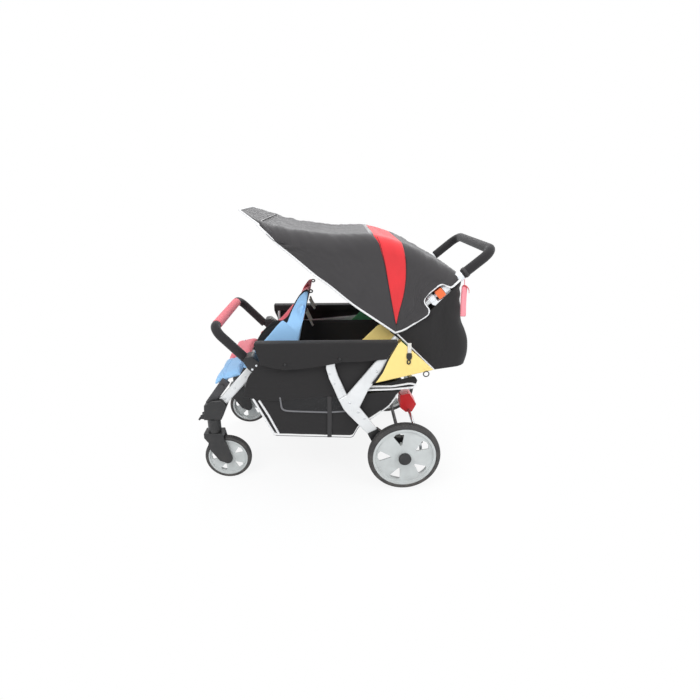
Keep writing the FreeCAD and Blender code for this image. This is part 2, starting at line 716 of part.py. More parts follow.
def make_rear_legs():
    """Y-shaped legs from the pivot to the wheel holders."""
    inner = LEG_Y - BAR_T / 2
    outer = LEG_Y + BAR_T / 2
    plate = softened(left(list(SEAM) + list(LEG_OUTLINE_REST), inner, outer), BAR_ROUND, True)
    plate = plate.fuse(left_rod(PIVOT, EYE_D / 2, inner, outer))
    plate = plate.cut(left_rod(PIVOT, PIVOT_PIN_D / 2 + SPIN_FIT, inner - BAR_T, outer + BAR_T))
    save("rear_legs", both(plate))
    return plate


def make_wheel_holders(plate):
    inner, outer = HOLDER_Y
    holder = softened(left(HOLDER_OUTLINE, inner, outer), BAR_ROUND, False)
    axle = left_rod(REAR_AXLE, AXLE_D / 2, inner - BAR_T, outer + BAR_T)
    bar_bore = left_rod(BRAKE_BAR, BRAKE_BAR_D / 2 + SPIN_FIT, inner - BAR_T, outer + BAR_T)
    save("wheel_holders", both(biggest(holder.cut([axle, bar_bore, plate]))))


def make_rear_axle():
    end = WHEEL_Y + REAR_HUB_W / 2 + WASHER_GAP
    axle = rod(REAR_AXLE, AXLE_D / 2, -end - CAP_H / 2, end + CAP_H / 2)
    save("rear_axle", axle)
    save("axle_caps", both(left_rod(REAR_AXLE, CAP_D / 2, end, end + CAP_H).cut(axle)))


def tooth_place(reach, along):
    """A place by the brake ring, measured from the axle towards the tooth."""
    x, z = polar(*REAR_AXLE, reach, TOOTH_TURN)
    return polar(x, z, along, TOOTH_TURN + 90)


def make_brake():
    """A bar across the back with a toothed arm at each rear wheel, and a pedal."""
    end = WHEEL_Y - RING_INSET - (RING_W - BRAKE_ARM_W) / 2
    across = rod(BRAKE_BAR, BRAKE_BAR_D / 2, -end, end)
    arm = left([tooth_place(*p) for p in BRAKE_ARM], end - BRAKE_ARM_W, end)
    root = BRAKE_ARM[0][0] + TOOTH_HALF
    corners = [(TOOTH_REST_R, -TOOTH_HALF), (root, -TOOTH_HALF), (root, TOOTH_HALF), (TOOTH_REST_R, TOOTH_HALF)]
    tooth = left([tooth_place(*p) for p in corners], end - BRAKE_ARM_W, end)
    arm = arm.fuse(tooth)
    save("brake_bar", across.fuse([arm, other_side(arm)]))
    pedal = softened(slab(PEDAL_OUTLINE, -PEDAL_W / 2, PEDAL_W / 2), PEDAL_ROUND, False)
    save("brake_pedal", pedal.cut(across))


# Pusher, locks and handle

def lock_outline(points):
    return [lock_point(s, u) for s, u in points]


def along_tube(start, end, radius):
    """A round piece round the handle tube's middle line, on the left."""
    ahead = V(math.cos(math.radians(LOCK_ANGLE)), 0, math.sin(math.radians(LOCK_ANGLE)))
    return Part.makeCylinder(radius, end - start, place(lock_point(start, 0), -TUBE_Y), ahead)


def make_pusher():
    """The pusher tubes, returning the left one as a solid rod."""
    toward = place(PUSHER_BEND_AT, 0) - place(PIVOT, 0)
    start = place(PIVOT, -TUBE_Y) - toward.normalize() * PUSHER_TAIL
    end = place(lock_point(LOWER_CUP[1] - CUP_END, 0), -TUBE_Y)
    points = [start, place(PUSHER_BEND_AT, -TUBE_Y), end]
    r = TUBE_D / 2
    tube = bent_tube(points, r, r - TUBE_WALL, PUSHER_BEND)
    solid = bent_rod(points, r, PUSHER_BEND)
    eye = left_rod(PIVOT, PIVOT_PIN_D / 2 + TUBE_WALL, TUBE_Y - r, TUBE_Y + r).common(solid)
    hole = left_rod(PIVOT, PIVOT_PIN_D / 2 + SPIN_FIT, TUBE_Y - TUBE_D, TUBE_Y + TUBE_D)
    save("pusher_tubes", both(tube.fuse(eye).cut(hole)))
    return solid


def make_lower_knuckles(tube):
    """Cup on the pusher tube, with two ears that carry the hinge pin."""
    cup = along_tube(*LOWER_CUP, CUP_D / 2)
    near, far = EAR_Y
    pieces = [left_rod(HINGE, HINGE_PIN_D / 2, TUBE_Y - far, TUBE_Y + far)]
    for inner, outer in ((TUBE_Y - far, TUBE_Y - near), (TUBE_Y + near, TUBE_Y + far)):
        pieces.append(left(lock_outline(EAR_OUTLINE), inner, outer))
        pieces.append(left_rod(HINGE, HINGE_BOSS_D / 2, inner, outer))
    save("lower_knuckles", both(cup.fuse(pieces).cut(tube)))


def make_upper_knuckles(handle):
    """Cup on the handle tube, with a neck for the release and a tongue on the hinge."""
    cup = along_tube(*UPPER_CUP, CUP_D / 2)
    neck = along_tube(LOWER_CUP[1] + SEAT_FIT, UPPER_CUP[0], NECK_D / 2)
    inner = TUBE_Y - TONGUE_HALF
    outer = TUBE_Y + TONGUE_HALF
    tongue = left(lock_outline(TONGUE_OUTLINE), inner, outer)
    boss = left_rod(HINGE, HINGE_BOSS_D / 2, inner, outer)
    bore = left_rod(HINGE, HINGE_PIN_D / 2 + SPIN_FIT, inner - BAR_T, outer + BAR_T)
    save("upper_knuckles", both(cup.fuse([neck, tongue, boss]).cut([handle, bore])))


def make_releases():
    s0, s1 = BLOCK
    half = BLOCK_H / 2
    outline = lock_outline([(s0, -half), (s1, -half), (s1, half), (s0, half)])
    block = softened(left(outline, TUBE_Y - half, TUBE_Y + half), BAR_ROUND, False)
    save_pair("fold_release", block.cut(along_tube(s0 - half, s1 + half, NECK_D / 2 + BLOCK_FIT)))


def handle_line(start):
    near = [place(lock_point(start, 0), -TUBE_Y), place(HANDLE, -TUBE_Y)]
    return near + [V(p.x, TUBE_Y, p.z) for p in reversed(near)]


def make_handle():
    """The handle with its foam and the canopy clamps, returning it as a solid rod."""
    r = TUBE_D / 2
    line = handle_line(UPPER_CUP[0] + CUP_END)
    solid = bent_rod(line, r, HANDLE_BEND)
    save("handle_tube", bent_tube(line, r, r - TUBE_WALL, HANDLE_BEND))
    save("handle_foam", bent_rod(handle_line(FOAM_START), HANDLE_FOAM_D / 2, HANDLE_BEND).cut(solid))
    stub_at = lock_point(sum(CLAMP) / 2, 0)
    stub = left_rod(stub_at, CLAMP_STUB_D / 2, TUBE_Y, CANOPY_Y - CLOTH_T - SEAT_FIT)
    save("canopy_clamps", both(along_tube(*CLAMP, CLAMP_D / 2).fuse(stub).cut(solid)))
    return solid


def make_wrist_strap():
    """A webbing loop round the left arm of the handle, with its tail hanging down."""
    end = STRAP_ALONG + STRAP_W
    foam = HANDLE_FOAM_D / 2 + SEAT_FIT
    x, z = lock_point((STRAP_ALONG + end) / 2, 0)
    hang = STRAP_HANG + foam
    corner = V(x - STRAP_W / 2, -TUBE_Y - STRAP_T / 2, z - hang)
    tail = Part.makeBox(STRAP_W, STRAP_T, hang, corner)
    loop = along_tube(STRAP_ALONG, end, foam + STRAP_T).fuse(tail)
    save("wrist_strap", loop.cut(along_tube(STRAP_ALONG - STRAP_W, end + STRAP_W, foam)))


# Canopy

def make_canopy_hubs(tube):
    """Hubs clamped on the pusher tubes, with the pins that the bows turn on."""
    ahead = place(PUSHER_BEND_AT, 0) - place(PIVOT, 0)
    angle = math.degrees(math.atan2(ahead.z, ahead.x))
    start = polar(*PIVOT, HUB_ALONG - HUB_SLEEVE_L / 2, angle)
    clamp = Part.makeCylinder(HUB_SLEEVE_D / 2, HUB_SLEEVE_L, place(start, -TUBE_Y), ahead)
    inner = TUBE_Y - TUBE_D / 4
    outer = TUBE_Y + TUBE_D / 2 + SEAT_FIT
    room = Part.makeBox(OVERRUN * 2, OVERRUN, OVERRUN * 2, V(start[0] - OVERRUN, -outer, start[1] - OVERRUN))
    clamp = clamp.common(room)
    middle = polar(*PIVOT, HUB_ALONG, angle)
    half = HUB_SLEEVE_L / 2
    web = left([polar(*middle, -half, angle), polar(*middle, half, angle), polar(*HUB, half, angle),
                polar(*HUB, -half, angle)], inner, outer)
    disc = left_rod(HUB, HUB_D / 2, inner, outer)
    tip = FRONT_BOW_Y + BOW_T / 2 + SEAT_FIT
    pin = left_rod(HUB, HUB_PIN_D / 2, inner, tip)
    head = left_rod(HUB, HUB_PIN_D * 0.8, tip, tip + WASHER_GAP)
    save("canopy_hubs", both(clamp.fuse([disc, web, pin, head]).cut(tube)))


def u_face(half, end, bend, start):
    """A U-shaped face in the flat, its legs along X and its closed end away."""
    c = bend * (1 - math.sqrt(0.5))
    turn = [V(end - bend, -half, 0), V(end - c, c - half, 0), V(end, bend - half, 0)]
    back = [V(p.x, -p.y, 0) for p in reversed(turn)]
    edges = [
        Part.LineSegment(V(start, -half, 0), turn[0]).toShape(),
        Part.Arc(*turn).toShape(),
        Part.LineSegment(turn[2], back[0]).toShape(),
        Part.Arc(*back).toShape(),
        Part.LineSegment(back[2], V(start, half, 0)).toShape(),
        Part.LineSegment(V(start, half, 0), V(start, -half, 0)).toShape(),
    ]
    return Part.Face(Part.Wire(edges))


def make_bow(name, size, y):
    """A flat strip bent to a U, turning on the hub pins."""
    length, angle = size
    grow = BOW_T / 2
    outer = u_face(y + grow, length, BOW_BEND + grow, 0).extrude(V(0, 0, BOW_W))
    inner = u_face(y - grow, length - BOW_T, BOW_BEND - grow, -OVERRUN).extrude(V(0, 0, BOW_W))
    strip = outer.cut(inner)
    strip.translate(V(0, 0, -BOW_W / 2))
    eyes = [rod((0, 0), BOW_EYE_D / 2, side * y - grow, side * y + grow) for side in (-1, 1)]
    strip = strip.fuse(eyes).cut(rod((0, 0), HUB_PIN_D / 2 + SPIN_FIT, -y - OVERRUN, y + OVERRUN))
    strip.rotate(V(0, 0, 0), V(0, 1, 0), -angle)
    strip.translate(place(HUB, 0))
    save(name, strip)


def canopy_block(drop, half, hem, round_over):
    """The canopy as a solid: the roof line over a lower outline, its long edges rounded."""
    roof = [V(x, -half, z - drop) for x, z in ROOF]
    curve = Part.BSplineCurve()
    curve.interpolate(roof)
    lower = [roof[-1]] + [V(x, -half, z) for x, z in hem] + [roof[0]]
    edges = [curve.toShape()]
    edges += [Part.LineSegment(a, b).toShape() for a, b in zip(lower, lower[1:])]
    block = Part.Face(Part.Wire(edges)).extrude(V(0, 2 * half, 0))
    curved = [e for e in block.Edges if e.Curve.TypeId == "Part::GeomBSplineCurve"]
    return block.makeFillet(round_over, curved)


def make_canopy():
    """The cloth in three: front panel, red wedge and rear panel."""
    outer = canopy_block(0, CANOPY_Y, CANOPY_HEM, ROOF_ROUND)
    floor = HUB[1] - OVERRUN
    right = ROOF[-1][0] + OVERRUN
    forward = ROOF[0][0] - OVERRUN
    open_hem = ((right, ROOF[-1][1] - OVERRUN / 2), (right, floor), (forward, floor),
                (forward, ROOF[0][1] - CLOTH_T))
    inner = canopy_block(CLOTH_T, CANOPY_Y - CLOTH_T, open_hem, ROOF_ROUND - CLOTH_T)
    room = along_tube(0, CLAMP[1] + OVERRUN, CLAMP_D / 2 + SOFT_GAP)
    tall = OVERRUN * 4
    wide = CANOPY_Y + OVERRUN
    base = ROOF[0][1] - tall / 2
    ear = [V(forward, -wide, base), V(forward, -VISOR_HALF, base), V(VISOR_X, -VISOR_HALF, base),
           V(VISOR_BACK_X, -CANOPY_Y, base), V(VISOR_BACK_X, -wide, base)]
    corner = Part.Face(Part.makePolygon(ear + ear[:1])).extrude(V(0, 0, tall))
    shell = outer.cut([inner, room, other_side(room), corner, other_side(corner)])

    foot = (WEDGE_TIP[0], floor)
    high = ROOF[0][1] + OVERRUN
    top_left, top_right = WEDGE_LEFT[0][0], WEDGE_RIGHT[-1][0]
    front = list(WEDGE_LEFT) + [WEDGE_TIP, foot, (forward, floor), (forward, high), (top_left, high)]
    wedge = list(WEDGE_LEFT) + [WEDGE_TIP] + list(WEDGE_RIGHT)
    rear = [WEDGE_TIP] + list(WEDGE_RIGHT) + [(top_right, high), (right, high), (right, floor), foot]
    for name, outline in (("canopy_front", front), ("canopy_wedge", wedge), ("canopy_rear", rear)):
        save(name, biggest(shell.common(slab(outline, -wide, wide))))


# Soft goods

def make_front_seat():
    inner, outer = SEAT_Y
    wings = []
    for outline in (FRONT_WING, LEG_WING):
        wings += [left(outline, inner, inner + WING_T), left(outline, outer - WING_T, outer)]
    cushion = pillow(FRONT_SEAT, FRONT_SEAT_ANGLE, FRONT_SEAT_L, -outer, -inner, CUSHION_T)
    rest = pillow(LEG_REST, LEG_REST_ANGLE, LEG_REST_L, -outer, -inner, CUSHION_T)
    save_pair("front_seat", cushion.fuse([rest] + wings))


def make_rear_seat():
    inner, outer = SEAT_Y
    wings = [left(REAR_WING, inner, inner + WING_T), left(REAR_WING, outer - WING_T, outer)]
    cushion = pillow(REAR_SEAT, REAR_SEAT_ANGLE, REAR_SEAT_L, -outer, -inner, CUSHION_T)
    save_pair("rear_seat", cushion.fuse(wings))


def make_back(name, point, angle, length):
    y0 = WING_T + SOFT_GAP - SEAT_Y[1]
    y1 = -SEAT_Y[0] - WING_T - SOFT_GAP
    save_pair(name, pillow(point, angle, length, y0, y1, BACK_T))


def make_side_panel():
    """Cloth over the armrest: an inner wall, a rolled top and an outer flap."""
    x0 = PANEL_OUTLINE[0][0]
    x1, top = PANEL_OUTLINE[1]
    wall = left(PANEL_OUTLINE, WALL_Y, WALL_Y + PANEL_T)
    flap = left(FLAP_OUTLINE, FLAP_Y, FLAP_Y + PANEL_T)
    roll = left([(x0, top), (x1, top), (x1, ROLL_TOP), (x0, ROLL_TOP)], LIP_Y, FLAP_Y + PANEL_T)
    lip = left([(x0, LIP_LOW), (x1, LIP_LOW), (x1, top), (x0, top)], LIP_Y, LIP_Y + LIP_T)
    layer = (WALL_Y - PANEL_T, WALL_Y + PANEL_T * 2)
    holes = [left_rod(PIVOT, PIVOT_HEAD_D / 2 + SOFT_GAP, *layer),
             left_rod(STAY_RIVET, SPACER_D / 2 + SOFT_GAP, *layer)]
    save_pair("side_panel", wall.fuse([flap, roll, lip]).cut(holes))
    save_pair("rear_side", left(SIDE_OUTLINE, FLAP_Y, FLAP_Y + PANEL_T))


def make_basket():
    hollow = slab(BASKET_ROOM, BASKET_WALL - WALL_Y, WALL_Y - BASKET_WALL)
    save("basket", slab(BASKET_OUTLINE, -WALL_Y, WALL_Y).cut(hollow))


def make_rear_drop():
    """The cloth behind the rear seats, with skirts outside the pusher tubes."""
    side = left(DROP_SIDE, DROP_Y - DROP_T, DROP_Y)
    back = slab(ribbon(DROP_SIDE[3:], -DROP_T), -DROP_Y, DROP_Y)
    skirt = left(SKIRT_OUTLINE, SKIRT_Y, SKIRT_Y + DROP_T)
    hem_line = (SKIRT_OUTLINE[0], SKIRT_OUTLINE[-1])
    hem = left(ribbon(hem_line, DROP_T), DROP_Y - DROP_T, SKIRT_Y + DROP_T)
    half = side.fuse([skirt, hem])
    save("rear_drop", back.fuse([half, other_side(half)]))


def make_recline_straps():
    """Webbing with a buckle, and a ring, on each rear side cloth."""
    face = FLAP_Y + PANEL_T
    webbing = left(WEBBING, face, face + STRAP_T / 2)
    buckle = softened(left(BUCKLE, face, face + BUCKLE_T), BUCKLE_ROUND, False)
    ring = Part.makeTorus(DRING_R, DRING_ROD, place(RING_AT, -face - DRING_ROD), V(0, 1, 0))
    pieces = [webbing.fuse(buckle), ring]
    save("recline_straps", Part.makeCompound(pieces + [other_side(p) for p in pieces]))


make_wheels()
make_caster_fork()
make_swivel_lock()
RAIL = make_front_frame()
make_rails(RAIL)
make_armrests(RAIL)
make_seat_tubes(RAIL)
make_pivot_pins()
make_stays()
make_wheel_holders(make_rear_legs())
make_rear_axle()
make_brake()
PUSHER = make_pusher()
make_lower_knuckles(PUSHER)
make_upper_knuckles(make_handle())
make_releases()
make_wrist_strap()
make_canopy_hubs(PUSHER)
make_bow("canopy_mid_bow", MID_BOW, MID_BOW_Y)
make_bow("canopy_front_bow", FRONT_BOW, FRONT_BOW_Y)
make_canopy()
make_front_seat()
make_rear_seat()
make_back("front_back", FRONT_BACK, FRONT_BACK_ANGLE, FRONT_BACK_L)
make_back("rear_back", REAR_BACK, REAR_BACK_ANGLE, REAR_BACK_L)
make_side_panel()
make_basket()
make_rear_drop()
make_recline_straps()
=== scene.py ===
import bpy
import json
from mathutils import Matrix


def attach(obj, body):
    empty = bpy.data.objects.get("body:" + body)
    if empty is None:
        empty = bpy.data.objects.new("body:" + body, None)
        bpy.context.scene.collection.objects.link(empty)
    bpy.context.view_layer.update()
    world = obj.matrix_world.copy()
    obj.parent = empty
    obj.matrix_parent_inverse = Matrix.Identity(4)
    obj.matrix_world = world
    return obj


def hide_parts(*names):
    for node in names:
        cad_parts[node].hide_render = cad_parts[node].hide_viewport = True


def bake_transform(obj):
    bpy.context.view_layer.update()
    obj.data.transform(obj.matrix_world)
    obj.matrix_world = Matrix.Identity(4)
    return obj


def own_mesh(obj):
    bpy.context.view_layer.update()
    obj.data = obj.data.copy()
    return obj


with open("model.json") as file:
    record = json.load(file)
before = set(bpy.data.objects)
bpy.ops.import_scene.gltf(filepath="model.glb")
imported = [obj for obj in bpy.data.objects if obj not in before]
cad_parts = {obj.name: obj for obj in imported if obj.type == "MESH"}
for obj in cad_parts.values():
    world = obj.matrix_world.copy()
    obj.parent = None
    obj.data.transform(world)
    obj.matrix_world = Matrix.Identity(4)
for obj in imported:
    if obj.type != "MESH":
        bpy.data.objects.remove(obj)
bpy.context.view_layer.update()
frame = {"nodes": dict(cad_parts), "record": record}

import json
import math

import bmesh
import bpy
from mathutils import Color, Matrix, Vector, noise

bl_info = {
    "name": "Four seat daycare stroller",
    "version": (1, 0, 0),
    "blender": (4, 5, 0),
    "location": "View3D > Sidebar > Stroller",
    "description": "Sews the canopy, basket and seats of a folding four seat stroller and finishes its frame",
    "category": "Object",
}

# The frame drawing is in millimetres, and this X of it stands at the scene's middle.
MIDDLE = 31.51
SLOT_OF = {part["node"]: part["material_slot"] for part in frame["record"]["subparts"]}
SIDES = (("left", "l", -1), ("right", "r", 1))


# Sizes and colours

def tint(label, text, colour):
    return bpy.props.FloatVectorProperty(
        name=label, description=text, default=colour, subtype="COLOR_GAMMA", size=3, min=0, max=1)


def measure(label, text, value):
    return bpy.props.FloatProperty(name=label, description=text, default=value, min=0, unit="LENGTH")


class StrollerColours(bpy.types.PropertyGroup):
    frame_silver: tint("Silver paint", "Satin paint of the legs, stays and tubes", (0.87, 0.875, 0.875))
    frame_dark: tint("Dark plastic", "Grey moulded struts and caster heads", (0.23, 0.225, 0.235))
    black_plastic: tint("Black plastic", "Brackets, buckles and hub caps", (0.12, 0.12, 0.125))
    white_plastic: tint("White plastic", "Fold lock cups and canopy clamps", (0.88, 0.89, 0.90))
    rim_grey: tint("Rim plastic", "Pale grey of the windowed rims", (0.765, 0.78, 0.775))
    tyre: tint("Tyre rubber", "Black rubber of the tyres", (0.17, 0.165, 0.17))
    black_foam: tint("Black foam", "Foam of the handle and the bumper arms", (0.16, 0.155, 0.16))
    red_foam: tint("Coral foam", "Foam of the bumper's middle grip", (0.91, 0.45, 0.49))
    release: tint("Release orange", "Blocks that let the handle fold", (0.92, 0.44, 0.24))
    pedal: tint("Pedal red", "Brake pedal", (0.88, 0.09, 0.13))
    black_cloth: tint("Black cloth", "Side panels, basket and drop", (0.125, 0.12, 0.122))
    # The canopy is the same black fabric as the side panels; its lighter grey here is painted light, the light
    # that falls on the canopy.
    lit_canopy_cloth: tint("Canopy cloth", "Charcoal cloth of the canopy", (0.225, 0.218, 0.222))
    red_cloth: tint("Red cloth", "Canopy wedge", (0.84, 0.20, 0.22))
    pink_cloth: tint("Coral cloth", "Right front seat", (0.95, 0.53, 0.57))
    blue_cloth: tint("Blue cloth", "Left front seat", (0.60, 0.78, 0.94))
    yellow_cloth: tint("Yellow cloth", "Left rear seat", (0.95, 0.85, 0.53))
    green_cloth: tint("Green cloth", "Right rear seat", (0.31, 0.59, 0.41))
    piping: tint("Piping", "Pale piping along the hems", (0.90, 0.90, 0.90))
    pink_strap: tint("Wrist strap", "Pale pink webbing of the wrist strap", (0.96, 0.58, 0.62))


class StrollerSizes(bpy.types.PropertyGroup):
    canopy_cloth: measure("Canopy cloth", "Thickness of the canopy's cloth", 0.0016)
    panel_cloth: measure("Panel cloth", "Thickness of the side panels' cloth", 0.0022)
    piping_radius: measure("Piping", "Radius of the piping", 0.0041)
    fold_depth: measure("Fold depth", "How far the cloth's folds stand out", 0.0046)
    roof_sag: measure("Roof sag", "How far the canopy hangs between its bows", 0.006)
    basket_sag: measure("Basket sag", "How far the basket's floor hangs in its middle", 0.012)
    pad_swell: measure("Pad swell", "How far a point of a pad may move as it fills", 0.006)
    pad_voxel: measure("Pad grain", "Mesh size of the pads before they fill", 0.005)
    channel_depth: measure("Channels", "Depth of the channels sewn across the pads", 0.004)


# Places and lines in the side view

def at(x, y, z):
    """A place of the frame drawing, in the scene."""
    return Vector((x - MIDDLE, y, z)) / 1000


def between(a, b, share):
    return tuple(p + (q - p) * share for p, q in zip(a, b))


def line_length(line):
    return sum(math.dist(a, b) for a, b in zip(line, line[1:]))


def at_distance(line, distance):
    for a, b in zip(line, line[1:]):
        run = math.dist(a, b)
        if distance <= run and run > 0:
            return between(a, b, max(distance, 0) / run)
        distance -= run
    return tuple(line[-1])


def along(line, share):
    return at_distance(line, share * line_length(line))


def through(points, steps=8):
    """A smooth line through all the points."""
    full = [points[0], *points, points[-1]]
    line = []
    for p, q, r, s in zip(full, full[1:], full[2:], full[3:]):
        for n in range(steps):
            t = n / steps
            line.append(tuple(
                0.5 * (2 * b + (c - a) * t + (2 * a - 5 * b + 4 * c - d) * t ** 2
                       + (3 * b - a - 3 * c + d) * t ** 3)
                for a, b, c, d in zip(p, q, r, s)))
    return line + [tuple(points[-1])]


def cornered(points, reach=12.0, steps=4):
    """The same line with each corner rounded within a short reach."""
    line = [points[0]]
    for a, b, c in zip(points, points[1:], points[2:]):
        before = between(b, a, min(reach / math.dist(a, b), 0.5))
        after = between(b, c, min(reach / math.dist(b, c), 0.5))
        for n in range(steps + 1):
            t = n / steps
            line.append(between(between(before, b, t), between(b, after, t), t))
    return line + [points[-1]]


def ripple(point, size, seed):
    """Smooth noise from -1 to 1 over a place in metres."""
    return noise.noise(Vector(point) / size + Vector((seed, seed * 0.7, seed * 1.3)))


def bump(value, middle, width):
    return math.exp(-((value - middle) / width) ** 2)


def clamped(value):
    return min(max(value, 0), 1)


def arch(share):
    """Nothing at both ends of a share, and one in its middle."""
    return math.sin(math.pi * share)


def oval(x, y, z, wide, high, count):
    """Places round an oval of the side view."""
    return [at(x + wide * math.cos(n * math.tau / count), y, z + high * math.sin(n * math.tau / count))
            for n in range(count)]


# Finishes

def new_group(name, outputs, **inputs):
    """A shared pattern that takes a place and some numbers: its tree, its inputs and its outputs."""
    tree = bpy.data.node_groups.new(name, "ShaderNodeTree")
    tree.interface.new_socket("Vector", in_out="INPUT", socket_type="NodeSocketVector")
    for label, value in inputs.items():
        tree.interface.new_socket(label, in_out="INPUT", socket_type="NodeSocketFloat").default_value = value
    for label in outputs:
        tree.interface.new_socket(label, in_out="OUTPUT", socket_type="NodeSocketFloat")
    return tree, tree.nodes.new("NodeGroupInput").outputs, tree.nodes.new("NodeGroupOutput").inputs


def add(tree, kind, links=(), **values):
    """A new node, its named inputs linked or set."""
    node = tree.nodes.new(kind)
    for key, value in values.items():
        setattr(node, key, value)
    for socket, source in links:
        if isinstance(source, bpy.types.NodeSocket):
            tree.links.new(source, node.inputs[socket])
        else:
            node.inputs[socket].default_value = source
    return node


def maths(tree, operation, a, b=0.0):
    return add(tree, "ShaderNodeMath", [(0, a), (1, b)], operation=operation).outputs[0]


def spread(tree, value, low, high, to_low=0.0, to_high=1.0):
    return add(tree, "ShaderNodeMapRange",
               [(0, value), (1, low), (2, high), (3, to_low), (4, to_high)]).outputs[0]


def grain_noise(tree, vector, scale):
    return add(tree, "ShaderNodeTexNoise", [("Vector", vector), ("Scale", scale), ("Detail", 3.0)]).outputs[0]


def shade_noise(tree, vector, scale, low, high):
    """Noise with its middle part stretched from none to full."""
    return spread(tree, grain_noise(tree, vector, scale), low, high)


def weave_group():
    """Crossed threads and the cloudy shade of worn cloth."""
    tree, into, out = new_group("Woven threads", ("Height", "Shade"), Threads=4200.0)
    turned = add(tree, "ShaderNodeVectorMath", [(0, into["Vector"]), ("Scale", into["Threads"])],
                 operation="SCALE")
    parts = add(tree, "ShaderNodeSeparateXYZ", [(0, turned.outputs[0])])
    waves = [maths(tree, "SINE", parts.outputs[n]) for n in range(3)]
    total = maths(tree, "ADD", maths(tree, "ADD", waves[0], waves[1]), waves[2])
    tree.links.new(spread(tree, total, -2.0, 2.0), out["Height"])
    cloudy = grain_noise(tree, into["Vector"], 11.0)
    fine = grain_noise(tree, into["Vector"], 420.0)
    shade = maths(tree, "ADD", maths(tree, "MULTIPLY", cloudy, 0.65), maths(tree, "MULTIPLY", fine, 0.35))
    tree.links.new(spread(tree, shade, 0.3, 0.7), out["Shade"])
    return tree


def grain_group():
    """Fine leather-like grain of a moulding, with slow variation."""
    tree, into, out = new_group("Moulded grain", ("Height", "Shade"), Scale=900.0)
    cells = add(tree, "ShaderNodeTexVoronoi", [("Vector", into["Vector"]), ("Scale", into["Scale"])])
    tree.links.new(cells.outputs["Distance"], out["Height"])
    tree.links.new(shade_noise(tree, into["Vector"], 14.0, 0.32, 0.68), out["Shade"])
    return tree


def foam_group():
    """Open cells of soft foam."""
    tree, into, out = new_group("Foam cells", ("Height", "Shade"), Scale=520.0)
    cells = add(tree, "ShaderNodeTexVoronoi", [("Vector", into["Vector"]), ("Scale", into["Scale"])],
                feature="SMOOTH_F1")
    pits = maths(tree, "MULTIPLY", grain_noise(tree, into["Vector"], 900.0), 0.5)
    tree.links.new(maths(tree, "ADD", cells.outputs["Distance"], pits), out["Height"])
    tree.links.new(shade_noise(tree, into["Vector"], 22.0, 0.3, 0.7), out["Shade"])
    return tree


def scuff_group():
    """Thin rubbed patches."""
    tree, into, out = new_group("Scuffs", ("Mask",), Amount=0.3)
    wide = shade_noise(tree, into["Vector"], 26.0, 0.56, 0.72)
    thin = shade_noise(tree, into["Vector"], 310.0, 0.52, 0.66)
    tree.links.new(maths(tree, "MULTIPLY", maths(tree, "MULTIPLY", wide, thin), into["Amount"]), out["Mask"])
    return tree


def dust_group():
    """Road dust that thins out with height above the floor."""
    tree, into, out = new_group("Road dust", ("Mask",), Amount=0.25)
    parts = add(tree, "ShaderNodeSeparateXYZ", [(0, into["Vector"])])
    low = spread(tree, parts.outputs[2], 0.42, 0.0)
    patchy = shade_noise(tree, into["Vector"], 34.0, 0.3, 0.75)
    tree.links.new(maths(tree, "MULTIPLY", maths(tree, "MULTIPLY", low, patchy), into["Amount"]), out["Mask"])
    return tree


def tread_group():
    """Blocks round the tyre's running face, about an axle that lies along Y."""
    tree, into, out = new_group("Tyre tread", ("Height",), Radius=0.152, Blocks=72.0)
    parts = add(tree, "ShaderNodeSeparateXYZ", [(0, into["Vector"])])
    turn = maths(tree, "ARCTAN2", parts.outputs[2], parts.outputs[0])
    lean = maths(tree, "MULTIPLY", maths(tree, "ABSOLUTE", parts.outputs[1]), 120.0)
    wave = maths(tree, "SINE", maths(tree, "ADD", maths(tree, "MULTIPLY", turn, into["Blocks"]), lean))
    flat = add(tree, "ShaderNodeCombineXYZ", [(0, parts.outputs[0]), (2, parts.outputs[2])])
    far = add(tree, "ShaderNodeVectorMath", [(0, flat.outputs[0])], operation="LENGTH").outputs["Value"]
    share = maths(tree, "DIVIDE", far, into["Radius"])
    face = spread(tree, share, 0.955, 0.975)
    tree.links.new(maths(tree, "MULTIPLY", spread(tree, wave, -0.35, 0.1), face), out["Height"])
    return tree


PATTERNS = {"weave": weave_group, "grain": grain_group, "foam": foam_group, "scuffs": scuff_group,
            "dust": dust_group, "tread": tread_group}
DRAWN = {}
DUST_COLOUR = (0.42, 0.40, 0.37)
TREAD_DEPTH = 0.0022
# The waves of cloth and of the net, in radians per metre
THREAD_RATE = 4200.0
NET_RATE = 2100.0


def pattern(name):
    """The shared pattern of this name, drawn when it is first asked for."""
    if name not in DRAWN:
        DRAWN[name] = PATTERNS[name]()
    return DRAWN[name]


def linear(colour):
    return Color(colour).from_srgb_to_scene_linear()


def toned(colour, share):
    """A lighter colour for a share above one, and a darker one below."""
    return tuple(min(c * share, 1) for c in colour)


